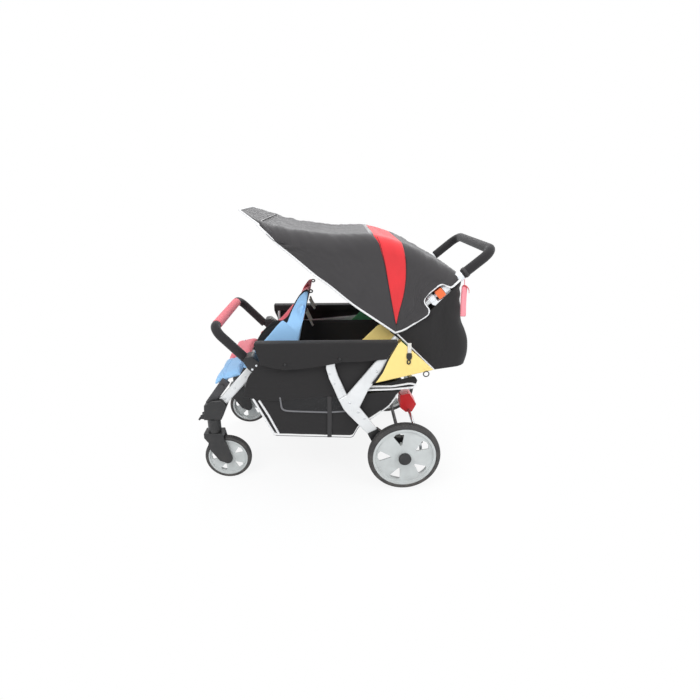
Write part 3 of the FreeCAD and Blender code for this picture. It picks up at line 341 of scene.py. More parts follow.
def finish(name, colour, rough, look, size, depth, contrast=0.14, metal=0.0, sheen=0.0, coat=0.0,
           wear=0.0, worn=(0.55, 0.55, 0.55), dust=0.0, tread=None, specular=0.5):
    """A material with its colour, roughness and surface from the shared patterns."""
    made = bpy.data.materials.new(name)
    made.use_nodes = True
    tree = made.node_tree
    shader = tree.nodes["Principled BSDF"]
    place = tree.nodes.new("ShaderNodeTexCoord").outputs["Object"]
    surface = add(tree, "ShaderNodeGroup", node_tree=pattern(look))
    tree.links.new(place, surface.inputs["Vector"])
    surface.inputs[1].default_value = size
    base = linear(colour)
    tones = add(tree, "ShaderNodeMix", data_type="RGBA")
    tree.links.new(surface.outputs["Shade"], tones.inputs["Factor"])
    tones.inputs[6].default_value = (*toned(base, 1 - contrast), 1)
    tones.inputs[7].default_value = (*toned(base, 1 + contrast), 1)
    result = tones.outputs[2]
    roughness = spread(tree, surface.outputs["Shade"], 0.0, 1.0, max(rough - 0.06, 0.02),
                       min(rough + 0.07, 1.0))
    for kind, amount, over in (("scuffs", wear, worn), ("dust", dust, DUST_COLOUR)):
        if amount:
            mask = add(tree, "ShaderNodeGroup", node_tree=pattern(kind))
            tree.links.new(place, mask.inputs["Vector"])
            mask.inputs["Amount"].default_value = amount
            layer = add(tree, "ShaderNodeMix", data_type="RGBA")
            tree.links.new(mask.outputs["Mask"], layer.inputs["Factor"])
            tree.links.new(result, layer.inputs[6])
            layer.inputs[7].default_value = (*linear(over), 1)
            result = layer.outputs[2]
    tree.links.new(result, shader.inputs["Base Color"])
    tree.links.new(roughness, shader.inputs["Roughness"])
    relief = add(tree, "ShaderNodeBump", [("Height", surface.outputs["Height"]), ("Strength", 1.0),
                                          ("Distance", depth)])
    if tread:
        centre, radius, blocks = tread
        moved = add(tree, "ShaderNodeMapping", [("Vector", place)])
        moved.inputs["Location"].default_value = (-centre[0], 0, -centre[1])
        blocky = add(tree, "ShaderNodeGroup", [("Vector", moved.outputs[0])], node_tree=pattern("tread"))
        blocky.inputs["Radius"].default_value = radius
        blocky.inputs["Blocks"].default_value = blocks
        relief = add(tree, "ShaderNodeBump", [("Height", blocky.outputs["Height"]), ("Strength", 1.0),
                                              ("Distance", TREAD_DEPTH), ("Normal", relief.outputs[0])])
    tree.links.new(relief.outputs[0], shader.inputs["Normal"])
    shader.inputs["Metallic"].default_value = metal
    shader.inputs["Sheen Weight"].default_value = sheen
    shader.inputs["Sheen Roughness"].default_value = 0.45
    shader.inputs["Coat Weight"].default_value = coat
    shader.inputs["Specular IOR Level"].default_value = specular
    return made


def open_net(name, colour):
    """Black netting with small square holes."""
    made = finish(name, colour, 0.7, "weave", THREAD_RATE, 0.0002)
    tree = made.node_tree
    place = next(n for n in tree.nodes if n.bl_idname == "ShaderNodeTexCoord").outputs["Object"]
    parts = add(tree, "ShaderNodeSeparateXYZ", [(0, place)])
    rows = [maths(tree, "SINE", maths(tree, "MULTIPLY", parts.outputs[n], NET_RATE)) for n in (0, 2)]
    threads = maths(tree, "MAXIMUM", rows[0], rows[1])
    tree.links.new(spread(tree, threads, 0.05, 0.25, 0.12, 1.0), tree.nodes["Principled BSDF"].inputs["Alpha"])
    return made


FINISHES = {}


def make_finishes():
    """One material for each finish of the record, and for the trim."""
    c = bpy.context.scene.stroller_colours

    def cloth(name, colour, contrast, sheen=0.25):
        return finish(name, colour, 0.78, "weave", THREAD_RATE, 0.00016, contrast=contrast, sheen=sheen,
                      specular=0.35)

    def strap(name, colour, rough, contrast, sheen):
        return finish(name, colour, rough, "weave", 2600.0, 0.0003, contrast=contrast, sheen=sheen)

    def rubber(name, axle, radius, blocks):
        centre = ((axle[0] - MIDDLE) / 1000, axle[1] / 1000)
        return finish(name, c.tyre, 0.56, "grain", 1500.0, 0.00005, contrast=0.16, wear=0.5,
                      worn=(0.34, 0.33, 0.33), dust=0.5, tread=(centre, radius, blocks))

    FINISHES.update({
        "frame_silver": finish("silver_paint", c.frame_silver, 0.34, "grain", 700.0, 0.00002, contrast=0.05,
                               metal=0.25, coat=0.25, wear=0.35, worn=(0.45, 0.45, 0.47), dust=0.12),
        "frame_dark": finish("dark_moulding", c.frame_dark, 0.46, "grain", 1100.0, 0.00006, contrast=0.1,
                             wear=0.3, worn=(0.42, 0.42, 0.43), dust=0.2),
        "metal_bright": finish("bright_steel", (0.80, 0.81, 0.82), 0.26, "grain", 800.0, 0.00002,
                               contrast=0.05, metal=0.95, wear=0.3, worn=(0.3, 0.3, 0.3), dust=0.1),
        "plastic_black": finish("black_moulding", c.black_plastic, 0.42, "grain", 1200.0, 0.00005, contrast=0.1,
                                wear=0.25, worn=(0.36, 0.36, 0.37), dust=0.16),
        "plastic_white": finish("white_moulding", c.white_plastic, 0.36, "grain", 1100.0, 0.00003,
                                contrast=0.04, wear=0.25, worn=(0.6, 0.6, 0.6)),
        "rim_grey": finish("rim_moulding", c.rim_grey, 0.38, "grain", 900.0, 0.00004, contrast=0.05,
                           wear=0.3, worn=(0.5, 0.53, 0.55), dust=0.22),
        "rear_tyre": rubber("rear_tyre_rubber", REAR_AXLE, 0.152, 72.0),
        "front_tyre": rubber("front_tyre_rubber", FRONT_AXLE, 0.100, 60.0),
        "foam_black": finish("black_foam", c.black_foam, 0.86, "foam", 900.0, 0.00002, contrast=0.10, sheen=0.2,
                             specular=0.3),
        "foam_red": finish("coral_foam", c.red_foam, 0.82, "foam", 900.0, 0.00002, contrast=0.03, sheen=0.25,
                           specular=0.3),
        "release_orange": finish("orange_moulding", c.release, 0.38, "grain", 1100.0, 0.00003, contrast=0.06,
                                 wear=0.2, worn=(0.75, 0.4, 0.28)),
        "pedal_red": finish("red_moulding", c.pedal, 0.36, "grain", 1100.0, 0.00003, contrast=0.08, coat=0.2,
                            wear=0.35, worn=(0.55, 0.2, 0.2), dust=0.12),
        "cloth_black": cloth("black_cloth", c.black_cloth, 0.16, 0.15),
        # Painted light: the canopy takes a lighter grey copy of the black cloth, for the light falling on it.
        "cloth_grey": cloth("canopy_cloth", c.lit_canopy_cloth, 0.12, 0.3),
        "cloth_red": cloth("red_cloth", c.red_cloth, 0.08),
        "cloth_pink": cloth("coral_cloth", c.pink_cloth, 0.08),
        "cloth_blue": cloth("blue_cloth", c.blue_cloth, 0.07),
        "cloth_yellow": cloth("yellow_cloth", c.yellow_cloth, 0.05),
        "cloth_green": cloth("green_cloth", c.green_cloth, 0.1),
        "piping": cloth("pale_piping", c.piping, 0.04, 0.1),
        "grey_binding": cloth("grey_binding", (0.45, 0.45, 0.46), 0.1),
        "webbing_pink": strap("pink_webbing", c.pink_strap, 0.7, 0.06, 0.2),
        "webbing_light": strap("light_webbing", (0.84, 0.83, 0.80), 0.72, 0.06, 0.2),
        "webbing_black": strap("black_webbing", (0.17, 0.165, 0.168), 0.7, 0.12, 0.25),
        "net": open_net("black_net", (0.13, 0.13, 0.135)),
    })


# Meshes

def placed(name, data):
    """A new object of the scene."""
    made = bpy.data.objects.new(name, data)
    bpy.context.scene.collection.objects.link(made)
    return made


def smooth(mesh):
    mesh.polygons.foreach_set("use_smooth", [True] * len(mesh.polygons))


def only(geom, kind):
    return [g for g in geom if isinstance(g, kind)]


def round_edges(bm, edges, offset, segments=3):
    bmesh.ops.bevel(bm, geom=edges, offset=offset, segments=segments, profile=0.5, affect="EDGES", material=-1)


def settle(bm, name, look, thick=0.0, levels=0, flip=False):
    """Turns a finished bmesh into a smooth piece at the scene's origin."""
    if flip:
        bmesh.ops.recalc_face_normals(bm, faces=bm.faces[:])
    mesh = bpy.data.meshes.new(name)
    bm.to_mesh(mesh)
    bm.free()
    smooth(mesh)
    piece = placed(name, mesh)
    mesh.materials.append(FINISHES[look])
    if thick:
        wall = piece.modifiers.new("Cloth thickness", "SOLIDIFY")
        wall.thickness = thick
        wall.offset = 0
    if levels:
        soft = piece.modifiers.new("Softness", "SUBSURF")
        soft.levels = soft.render_levels = levels
    return piece


def cloth_sheet(name, wide, long, put, look, thick):
    """A grid of cloth, each of its points put in place from its shares of the cut."""
    bm = bmesh.new()
    bm.loops.layers.uv.new("cut")
    bmesh.ops.create_grid(bm, x_segments=wide, y_segments=long, size=1, calc_uvs=True)
    for vert in bm.verts:
        vert.co = put((vert.co.x + 1) / 2, (vert.co.y + 1) / 2)
    bmesh.ops.remove_doubles(bm, verts=bm.verts[:], dist=0.00002)
    return settle(bm, name, look, thick)


def puffed_panel(name, wide, long, put, half, look):
    """A padded panel of two layers that meet at its rim, each point put in place in the side view."""
    bm = bmesh.new()
    bmesh.ops.create_grid(bm, x_segments=wide, y_segments=long, size=1)
    front = bm.verts[:]
    grown = bmesh.ops.extrude_face_region(bm, geom=bm.faces[:])
    back = only(grown["geom"], bmesh.types.BMVert)
    for side, verts in ((-1, front), (1, back)):
        for vert in verts:
            u, v = (vert.co.x + 1) / 2, (vert.co.y + 1) / 2
            x, y, z = put(u, v)
            vert.co = at(x, y + side * half(u, v), z)
    return settle(bm, name, look, levels=1, flip=True)


# From a shell's hem to its middle, the shares at which its wall and its soft corner end
WALL_END, CORNER_END = 0.5, 0.62


def shell_place(rib, half, bend, v):
    """A place on a cloth shell, its turn and its side: up a side wall along the rib, round a soft corner,
    across, and down the other wall."""
    side = -1 if v < 0.5 else 1
    share = min(v, 1 - v) * 2
    run = line_length(rib)
    r = min(bend, run, half)
    if share < WALL_END:
        turn, distance, out = 0.0, (run - r) * share * 2, half
    elif share < CORNER_END:
        turn = (share - WALL_END) / (CORNER_END - WALL_END) * math.pi / 2
        distance, out = run - r + r * math.sin(turn), half - r + r * math.cos(turn)
    else:
        turn, distance, out = math.pi / 2, run, (half - r) * (1 - share) / (1 - CORNER_END)
    x, z = at_distance(rib, distance)
    return x, side * out, z, turn, side


def piping(name, points, radius, look, closed=False, sides=3):
    """A round edging along places in the scene."""
    line = bpy.data.curves.new(name, "CURVE")
    line.dimensions = "3D"
    line.bevel_depth = radius
    line.bevel_resolution = sides
    line.use_fill_caps = True
    spline = line.splines.new("POLY")
    spline.points.add(len(points) - 1)
    for point, place in zip(spline.points, points):
        point.co = (*place, 1)
    spline.use_cyclic_u = closed
    holder = bpy.data.objects.new(name + ".line", line)
    mesh = bpy.data.meshes.new_from_object(holder)
    bpy.data.objects.remove(holder)
    mesh.name = name
    smooth(mesh)
    mesh.materials.clear()
    mesh.materials.append(FINISHES[look])
    return placed(name, mesh)


def trim(name, points, radius, look, body, slot, **shape):
    """Piping that rides on a body; the slot it is given is not used."""
    return dress(piping(name, points, radius, look, **shape), body, slot)


WEBBING_CLOTH = 0.0018


def webbing(name, line, across, width, look, steps=24):
    """A flat strap along places in the scene, its width in one direction."""
    def put(u, v):
        return Vector(along(line, v)) + Vector(across) * (u - 0.5) * width

    return cloth_sheet(name, 4, steps, put, look, WEBBING_CLOTH)


def sleeve(name, start, ahead, steps, radius, look):
    """A round sleeve that runs ahead and turns, closed and rounded at both ends."""
    bm = bmesh.new()
    facing = Vector(ahead).normalized()
    frame_turn = facing.to_track_quat("Z", "Y").to_matrix().to_4x4()
    ring = bmesh.ops.create_circle(bm, cap_ends=False, radius=radius, segments=28,
                                   matrix=Matrix.Translation(start) @ frame_turn)
    edges = list({e for v in ring["verts"] for e in v.link_edges})
    first = edges
    place = Vector(start)
    for kind, amount, *more in steps:
        if kind == "go":
            parts = max(2, round(amount / 0.02))
            for _ in range(parts):
                out = bmesh.ops.extrude_edge_only(bm, edges=edges)["geom"]
                verts = only(out, bmesh.types.BMVert)
                bmesh.ops.translate(bm, verts=verts, vec=facing * (amount / parts))
                edges = [e for e in only(out, bmesh.types.BMEdge) if all(v in verts for v in e.verts)]
            place += facing * amount
        else:
            toward, reach = Vector(more[0]), more[1]
            centre = place + toward * reach
            axis = facing.cross(toward)
            geom = edges + list({v for e in edges for v in e.verts})
            last = bmesh.ops.spin(bm, geom=geom, cent=centre, axis=axis, angle=amount, steps=10,
                                  use_duplicate=False)["geom_last"]
            edges = only(last, bmesh.types.BMEdge)
            turn = Matrix.Rotation(amount, 3, axis)
            place = centre + turn @ (place - centre)
            facing = turn @ facing
    caps = []
    for loop in (first, edges):
        live = [e for e in loop if e.is_valid]
        caps += bmesh.ops.edgeloop_fill(bm, edges=live)["faces"]
    rims = list({e for f in caps for e in f.edges})
    bmesh.ops.recalc_face_normals(bm, faces=bm.faces[:])
    round_edges(bm, rims, 0.0035)
    return settle(bm, name, look)


def moulding(name, outline, y0, y1, round_edge, look):
    """A plate with its outline in the side view, from one side to another, with rounded edges."""
    bm = bmesh.new()
    face = bm.faces.new([bm.verts.new(at(x, y0, z)) for x, z in outline])
    grown = bmesh.ops.extrude_face_region(bm, geom=[face])
    bmesh.ops.translate(bm, verts=only(grown["geom"], bmesh.types.BMVert), vec=(0, (y1 - y0) / 1000, 0))
    bmesh.ops.recalc_face_normals(bm, faces=bm.faces[:])
    round_edges(bm, [e for e in bm.edges if e.calc_face_angle(0) > 0.9], round_edge / 1000)
    return settle(bm, name, look)


def domes(name, places, radius, height, look):
    """Low round heads, each standing on a face that looks along Y."""
    bm = bmesh.new()
    for place, side in places:
        turn = Matrix.Rotation(math.radians(90 * side), 4, "X")
        middle = Matrix.Translation(place + Vector((0, side * height / 2, 0)))
        bmesh.ops.create_cone(bm, cap_ends=True, segments=16, radius1=radius, radius2=radius * 0.6,
                              depth=height, matrix=middle @ turn.inverted())
    bmesh.ops.recalc_face_normals(bm, faces=bm.faces[:])
    round_edges(bm, [e for e in bm.edges if e.calc_face_angle(0) > 0.5], radius * 0.12, 2)
    return settle(bm, name, look)


def dress(piece, body, slot, *nodes):
    """The piece rides on a body and stands for its solids; the slot it is given is not used."""
    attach(piece, body)
    if nodes:
        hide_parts(*nodes)
    return piece


# Wheels

REAR_AXLE = (289.0, 152.0)
FRONT_AXLE = (-463.0, 100.0)
# Each pair of tyres: its axle, distance from the middle, radius, depth and width
TYRES = {"rear": (REAR_AXLE, 352.0, 152.0, 21.0, 38.0), "front": (FRONT_AXLE, 250.0, 100.0, 16.0, 32.0)}
# Half of a tyre's section: how far it rises from its seat, and how wide it is there
TYRE_SECTION = (
    (0.0, 0.90), (0.10, 0.93), (0.16, 1.0), (0.36, 1.02), (0.54, 0.97), (0.58, 0.93), (0.62, 0.94),
    (0.76, 0.83), (0.87, 0.68), (0.94, 0.50), (0.955, 0.44), (0.925, 0.40), (0.925, 0.36), (0.965, 0.32),
    (0.99, 0.16), (0.992, 0.10), (0.955, 0.06), (0.955, 0.0),
)


def fit_tyre(name, axle, y, reach, depth, width, look, body, node):
    """A tyre turned about its axle from its section."""
    seat = reach - depth
    section = [(seat + depth * rise, width / 2 * wide) for rise, wide in TYRE_SECTION]
    ring = [(r, -w) for r, w in section] + [(r, w) for r, w in reversed(section[:-1])]
    bm = bmesh.new()
    verts = [bm.verts.new(at(axle[0], y + w, axle[1] + r)) for r, w in ring]
    edges = [bm.edges.new(pair) for pair in zip(verts, verts[1:] + verts[:1])]
    bmesh.ops.spin(bm, geom=verts + edges, cent=at(axle[0], y, axle[1]), axis=(0, 1, 0), angle=math.tau,
                   steps=96, use_merge=True, use_duplicate=False)
    bmesh.ops.remove_doubles(bm, verts=bm.verts[:], dist=0.00005)
    piece = settle(bm, name, look, flip=True)
    return dress(piece, body, "tyre_rubber", node)


# Canopy

ROOF_END = (486.0, 890.0)
ROOF = through([
    (-356.0, 1120.0), (-292.0, 1098.0), (-239.0, 1078.0), (-136.0, 1056.0), (-10.0, 1041.0),
    (74.0, 1040.0), (116.0, 1042.0), (160.0, 1037.0), (245.0, 1015.0), (305.0, 990.0),
    (422.0, 926.0), ROOF_END,
])
CANOPY_FOOT = (243.0, 668.0)
FRONT_HEM = [(-356.0, 1124.0)] + through([
    (-270.0, 1081.0), (-200.0, 1012.0), (-141.0, 962.0), (-64.0, 895.0), (-10.0, 855.0), (77.0, 783.0),
    (181.0, 711.0), CANOPY_FOOT], 4)
SEAM_FRONT = [(247.0, 700.0), (241.0, 717.0), (214.0, 845.0), (193.0, 949.0), (169.0, 1028.0), (152.0, 1047.2)]
SEAM_REAR = [(247.0, 700.0), (255.0, 749.0), (271.0, 818.0), (277.0, 882.0), (274.0, 948.0), (262.0, 1014.0)]
REAR_HEM = cornered([
    CANOPY_FOOT, (276.0, 679.0), (368.0, 739.0), (374.0, 758.0), (346.0, 790.0), (356.0, 816.0),
    (404.0, 857.0), (424.0, 862.0), (450.0, 843.0), (487.0, 879.0),
], 14.0)
FRONT_BOW_X, MID_BOW_X, REAR_SEAM_X, REAR_HEM_X = -356.0, 152.0, 262.0, 486.0
CANOPY_HALF = 286.8
CANOPY_BEND = 58.0
VISOR_HALF = 150.0
VISOR_GROWTH, VISOR_RUN = 136.8, 94.0
RIB_STEPS = 12
HANDLE_ROOM = 0.0212
CLAMP_RUN = (-0.03, 0.16)
HEM_STEPS = 80
LOCK = (409.0, 819.0)
LOCK_ANGLE = math.radians(39.6)
TUBE_Y = 262.0


def lock_place(along_tube, y, up=0.0):
    c, s = math.cos(LOCK_ANGLE), math.sin(LOCK_ANGLE)
    return at(LOCK[0] + along_tube * c - up * s, y, LOCK[1] + along_tube * s + up * c)


def roof_at(x):
    """The place of the roof's middle line at this X."""
    for a, b in zip(ROOF, ROOF[1:]):
        if a[0] <= x <= b[0]:
            return (x, a[1] + (b[1] - a[1]) * (x - a[0]) / (b[0] - a[0]))
    return ROOF[-1] if x > 0 else ROOF[0]


def visor_half(x):
    """Half the canopy's width, which narrows over the visor."""
    return min(max(VISOR_HALF + (x - FRONT_BOW_X) * VISOR_GROWTH / VISOR_RUN, VISOR_HALF), CANOPY_HALF)


def rib_front(u):
    """A rib of the front panel, from the piped hem up to the roof; u is 1 at the wedge's seam."""
    seam = [CANOPY_FOOT] + SEAM_FRONT
    low, high = along(FRONT_HEM, u), roof_at(FRONT_BOW_X + (MID_BOW_X - FRONT_BOW_X) * u)
    line = []
    for n in range(RIB_STEPS + 1):
        share = n / RIB_STEPS
        bow = [s - b for s, b in zip(along(seam, share), between(seam[0], seam[-1], share))]
        x, z = between(low, high, share)
        line.append((x + bow[0] * u ** 2, z + bow[1] * u ** 2))
    return line


def rib_wedge(u):
    """A rib of the wedge; u is 0 at its front seam and 1 at its rear one."""
    top = roof_at(MID_BOW_X + (REAR_SEAM_X - MID_BOW_X) * u)
    lift = top[1] - between(SEAM_FRONT[-1], SEAM_REAR[-1], u)[1]
    line = []
    for n in range(RIB_STEPS + 1):
        share = n / RIB_STEPS
        x, z = between(along(SEAM_FRONT, share), along(SEAM_REAR, share), u)
        line.append((x, z + lift * share ** 4))
    return line


def rib_rear(u):
    """A rib of the rear panel, from the hub up; u is 1 at the rear hem."""
    seam = [CANOPY_FOOT] + SEAM_REAR
    top = roof_at(REAR_SEAM_X + (REAR_HEM_X - REAR_SEAM_X) * u)
    hem = REAR_HEM + [ROOF_END]
    lift = [t - b for t, b in zip(top, between(seam[-1], hem[-1], u))]
    line = []
    for n in range(2 * RIB_STEPS + 1):
        share = n / (2 * RIB_STEPS)
        x, z = between(along(seam, share), along(hem, share), u)
        line.append((x + lift[0] * share ** 4, z + lift[1] * share ** 4))
    return line


def clear_of_handle(place):
    """Moves a place of the cloth out of the way of the handle's arms and clamps."""
    for side in (-1, 1):
        foot = lock_place(0, side * TUBE_Y)
        ahead = (lock_place(1, side * TUBE_Y) - foot).normalized()
        run = (place - foot).dot(ahead)
        if CLAMP_RUN[0] < run < CLAMP_RUN[1]:
            off = place - foot - ahead * run
            if off.length < HANDLE_ROOM:
                place = foot + ahead * run + off.normalized() * HANDLE_ROOM
    return place


def canopy_panel(name, rib, wide, folds, seam_walls, look):
    """A panel of the canopy as one curved sheet over both sides and the roof."""
    sizes = bpy.context.scene.stroller_sizes
    ribs = {}

    def put(u, v):
        if u not in ribs:
            ribs[u] = rib(u)
        line = ribs[u]
        half = visor_half(line[-1][0])
        x, y, z, turn, side = shell_place(line, half, CANOPY_BEND, v)
        share = min(v, 1 - v) * 2
        out = Vector((0, side * math.cos(turn), math.sin(turn)))
        calm = min(1, u * 8 + seam_walls[0], (1 - u) * 8 + seam_walls[1]) * min(1, share * 7)
        stand = folds(u, share) * calm * sizes.fold_depth
        if share >= CORNER_END:
            middle = 1 - (2 * abs(v - 0.5) / (1 - CORNER_END)) ** 2
            stand -= sizes.roof_sag * max(middle, 0) * arch(clamped(u))
        return clear_of_handle(at(x, y, z) + out * stand)

    return cloth_sheet(name, wide, 120, put, look, sizes.canopy_cloth)


def front_folds(u, share):
    """Slack near the front corner and soft fans from the hub."""
    fan = noise.noise(Vector((u * 9, share * 2.2, 3.1)))
    crease = 1 - 2 * abs(noise.noise(Vector((u * 15 + share * 7, share * 8 - u * 5, 7.7))))
    slack = bump(u, 0.28, 0.2) * bump(share, 0.42, 0.2) * math.sin(u * 46 - share * 22) * 0.8
    return 0.3 + 0.6 * fan + 0.55 * crease ** 3 + slack


def wedge_folds(u, share):
    return 0.3 + 0.35 * noise.noise(Vector((u * 3, share * 7, 1.7)))


def rear_folds(u, share):
    """Upright folds that fall towards the fold lock."""
    drape = noise.noise(Vector((u * 8, share * 3.0, 5.3)))
    crease = 1 - 2 * abs(noise.noise(Vector((u * 11, share * 9, 9.1))))
    return 0.4 + 0.7 * drape + 0.6 * crease ** 3


def hem_places(line, y):
    """Places along a side-view line in one layer."""
    return [at(x, y, z) for x, z in (along(line, n / HEM_STEPS) for n in range(HEM_STEPS + 1))]


# Seats

SEAT_SPAN = (4.0, 236.0)
WING_Y, LINING_Y = 232.0, 8.2
# The far front wing hangs slack, the far rear one a little; both front wings gather inwards at the top
FRONT_SLUMP, REAR_SLUMP, GATHER = 52.0, 20.0, 90.0
GATHER_START, GATHER_RUN = 0.62, 0.33
SWELLING_STEPS = 20
SEWN_ABOVE = 0.012
CHANNEL_WIDTH = 4.5
PUFF_DEPTH = 0.0012
FRONT_WING_UPPER = cornered([
    (-374.0, 507.3), (-366.0, 528.0), (-330.0, 566.0), (-285.0, 617.0), (-254.0, 651.0), (-229.0, 681.0),
    (-200.0, 710.0), (-186.0, 690.0), (-178.0, 710.0), (-166.0, 738.0), (-139.0, 783.0), (-113.0, 805.0),
    (-101.0, 800.0)], 7.0)
FRONT_WING_LOWER = cornered([(-176.0, 450.5), (-166.0, 490.0), (-153.0, 560.0), (-145.0, 618.0),
                             (-132.0, 668.0), (-119.0, 708.0), (-106.0, 768.0)], 20.0)
FRONT_LINING_UPPER = cornered([(-374.0, 507.3), (-356.0, 530.0), (-340.0, 560.0), (-290.0, 610.0),
                               (-232.0, 638.0), (-208.0, 656.0), (-191.0, 686.0), (-172.0, 723.0),
                               (-151.0, 756.0), (-128.0, 779.0), (-115.0, 781.0)], 10.0)
REAR_WING_UPPER = cornered([(-45.0, 472.0), (-42.0, 500.0), (50.0, 560.0), (116.0, 622.0), (186.0, 691.0),
                            (236.0, 690.0)], 16.0)
REAR_WING_LOWER = cornered([(-44.0, 471.0), (140.0, 429.3), (238.0, 486.0), (290.0, 560.0), (272.0, 640.0),
                            (238.0, 688.0)], 24.0)
DIVIDER_TOP = cornered([(-362.0, 507.0), (-348.0, 554.0), (-325.0, 589.0), (-297.0, 617.0), (-268.0, 641.0),
                        (-100.0, 641.0), (246.0, 641.0)], 12.0)
DIVIDER_LOW = [(-362.0, 505.0), (-187.0, 454.0), (-45.0, 472.0), (140.0, 430.0), (246.0, 500.0)]


def pad_block(name, point, angle, length, y0, y1, thick, look, nose, flare):
    """A padded block on a flat base that starts at a point of the side view and runs at an angle."""
    bm = bmesh.new()
    bmesh.ops.create_cube(bm, size=1)
    bmesh.ops.subdivide_edges(bm, edges=bm.edges[:], cuts=11, use_grid_fill=True)
    turn = math.radians(angle)
    ahead, up = (math.cos(turn), math.sin(turn)), (-math.sin(turn), math.cos(turn))
    for vert in bm.verts:
        s, q, g = vert.co.x + 0.5, vert.co.y * 2, vert.co.z + 0.5
        ends, sides = 1 - abs(2 * s - 1) ** 5, 1 - abs(q) ** 6
        full = 0.55 + 0.45 * math.sqrt(max(ends * sides, 0))
        high = g * (thick * full * (nose + (1 - nose) * min(3 * s, 1)) + 6.0 * (1 - q * q) * ends)
        waist = 1 - 0.022 * arch(s)
        a = length * s + (0.5 - s) * length * 0.03 * (1 - q * q)
        y = (y0 + y1) / 2 + q * (y1 - y0) / 2 * waist - flare * max(-q, 0) * (1 - s) ** 2
        vert.co = at(point[0] + ahead[0] * a + up[0] * high, y, point[1] + ahead[1] * a + up[1] * high)
    return settle(bm, name, look, flip=True)


def relax(bm):
    bmesh.ops.smooth_vert(bm, verts=bm.verts[:], factor=0.5, use_axis_x=True, use_axis_y=True, use_axis_z=True)


def fill_pad(piece, point, angle, length, channels):
    """Fills the pad with air as cloth does, then sews channels across it."""
    sizes = bpy.context.scene.stroller_sizes
    scene = bpy.context.scene
    grain = piece.modifiers.new("Even grain", "REMESH")
    grain.mode = "VOXEL"
    grain.voxel_size = sizes.pad_voxel
    even = bpy.data.meshes.new_from_object(piece.evaluated_get(bpy.context.evaluated_depsgraph_get()))
    looks = list(piece.data.materials)
    piece.modifiers.clear()
    piece.data = even
    rest = [v.co.copy() for v in even.vertices]
    turn = math.radians(angle)
    up = Vector((-math.sin(turn), 0, math.cos(turn)))
    ahead = Vector((math.cos(turn), 0, math.sin(turn)))
    foot = at(point[0], 0, point[1])
    air = piece.modifiers.new("Air", "CLOTH")
    air.settings.use_pressure = True
    air.settings.uniform_pressure_force = 4
    air.settings.effector_weights.gravity = 0
    air.settings.quality = 5
    air.point_cache.frame_start, air.point_cache.frame_end = 1, SWELLING_STEPS
    for step in range(1, SWELLING_STEPS + 1):
        scene.frame_set(step)
    swollen = piece.evaluated_get(bpy.context.evaluated_depsgraph_get())
    moved = [v.co.copy() for v in swollen.data.vertices]
    piece.modifiers.clear()
    scene.frame_set(1)
    for vert, start, end in zip(even.vertices, rest, moved):
        step = end - start
        if step.length > sizes.pad_swell:
            step = step.normalized() * sizes.pad_swell
        vert.co = start + step
    bm = bmesh.new()
    bm.from_mesh(even)
    relax(bm)
    bmesh.ops.subdivide_edges(bm, edges=bm.edges[:], cuts=1, use_grid_fill=True)
    relax(bm)
    bm.normal_update()
    for vert in bm.verts:
        high = (vert.co - foot).dot(up)
        share = (vert.co - foot).dot(ahead) / (length / 1000)
        if high > SEWN_ABOVE:
            groove = sum(bump(share, c, CHANNEL_WIDTH / length) for c in channels)
            puff = 0.5 + 0.5 * ripple(vert.co, 0.035, 2.0)
            vert.co -= up * (sizes.channel_depth * groove) - up * puff * PUFF_DEPTH
        if high < 0:
            vert.co -= up * high
    bm.to_mesh(even)
    bm.free()
    smooth(even)
    even.materials.clear()
    for look in looks:
        even.materials.append(look)
    return piece


def other_colour(piece, name, look):
    """A mirrored copy of a filled pad for the seat beside it."""
    mesh = piece.data.copy()
    mesh.transform(Matrix.Scale(-1, 4, (0, 1, 0)))
    mesh.flip_normals()
    mesh.materials.clear()
    mesh.materials.append(FINISHES[look])
    return placed(name, mesh)


def wing(name, upper, lower, y, look, slump=0.0, gather=0.0):
    """The padded side of a seat, seamed a finger's width from its edge."""
    def put(u, v):
        x, z = between(along(upper, u), along(lower, u), v)
        wave = ripple(at(x, y, z), 0.05, 4.0) * 1.1 * arch(v)
        high = clamped((u - GATHER_START) / GATHER_RUN)
        inward = math.copysign(gather * high * high * (3 - 2 * high) * (1 - v), y)
        return x, y + wave - inward, z - slump * arch(u) * (1 - v)

    def half(u, v):
        rim = min(u * 14, (1 - u) * 14, v * 9, (1 - v) * 9)
        soft = 1 - math.exp(-rim * 2.2)
        seam = 1.7 * bump(rim, 0.95, 0.15) + 1.1 * bump(rim, 1.75, 0.13)
        return max(0.6 + 3.0 * soft - seam, 0.4)

    piece = puffed_panel(name, 64, 24, put, half, look)
    return piece


SLOT_OF_LOOK = {"cloth_pink": "cloth_red", "cloth_blue": "cloth_blue", "cloth_yellow": "cloth_yellow",
                "cloth_green": "cloth_green", "cloth_black": "cloth_black"}


# Operators

class STROLLER_OT_finish_frame(bpy.types.Operator):
    """Give each tube, moulding, rim and lock of the frame its finish"""
    bl_idname = "stroller.finish_frame"
    bl_label = "Finish frame"

    def execute(self, context):
        make_finishes()
        for node, solid in frame["nodes"].items():
            look = FINISHES.get(SLOT_OF[node], FINISHES["cloth_black"] if "tyre" not in node else None)
            if look is None:
                look = FINISHES["rear_tyre" if node.startswith("rear") else "front_tyre"]
            for held in solid.material_slots:
                held.material = look
        return {"FINISHED"}


class STROLLER_OT_fit_tyres(bpy.types.Operator):
    """Mould the treaded tyres onto the rims"""
    bl_idname = "stroller.fit_tyres"
    bl_label = "Fit tyres"

    def execute(self, context):
        for word, letter, side in SIDES:
            for end, (axle, y, reach, depth, width) in TYRES.items():
                fit_tyre(f"{end}_tread_{word}", axle, side * y, reach, depth, width, f"{end}_tyre",
                         f"{end}_wheel_{letter}", f"{end}_tyre_{word}")
        return {"FINISHED"}


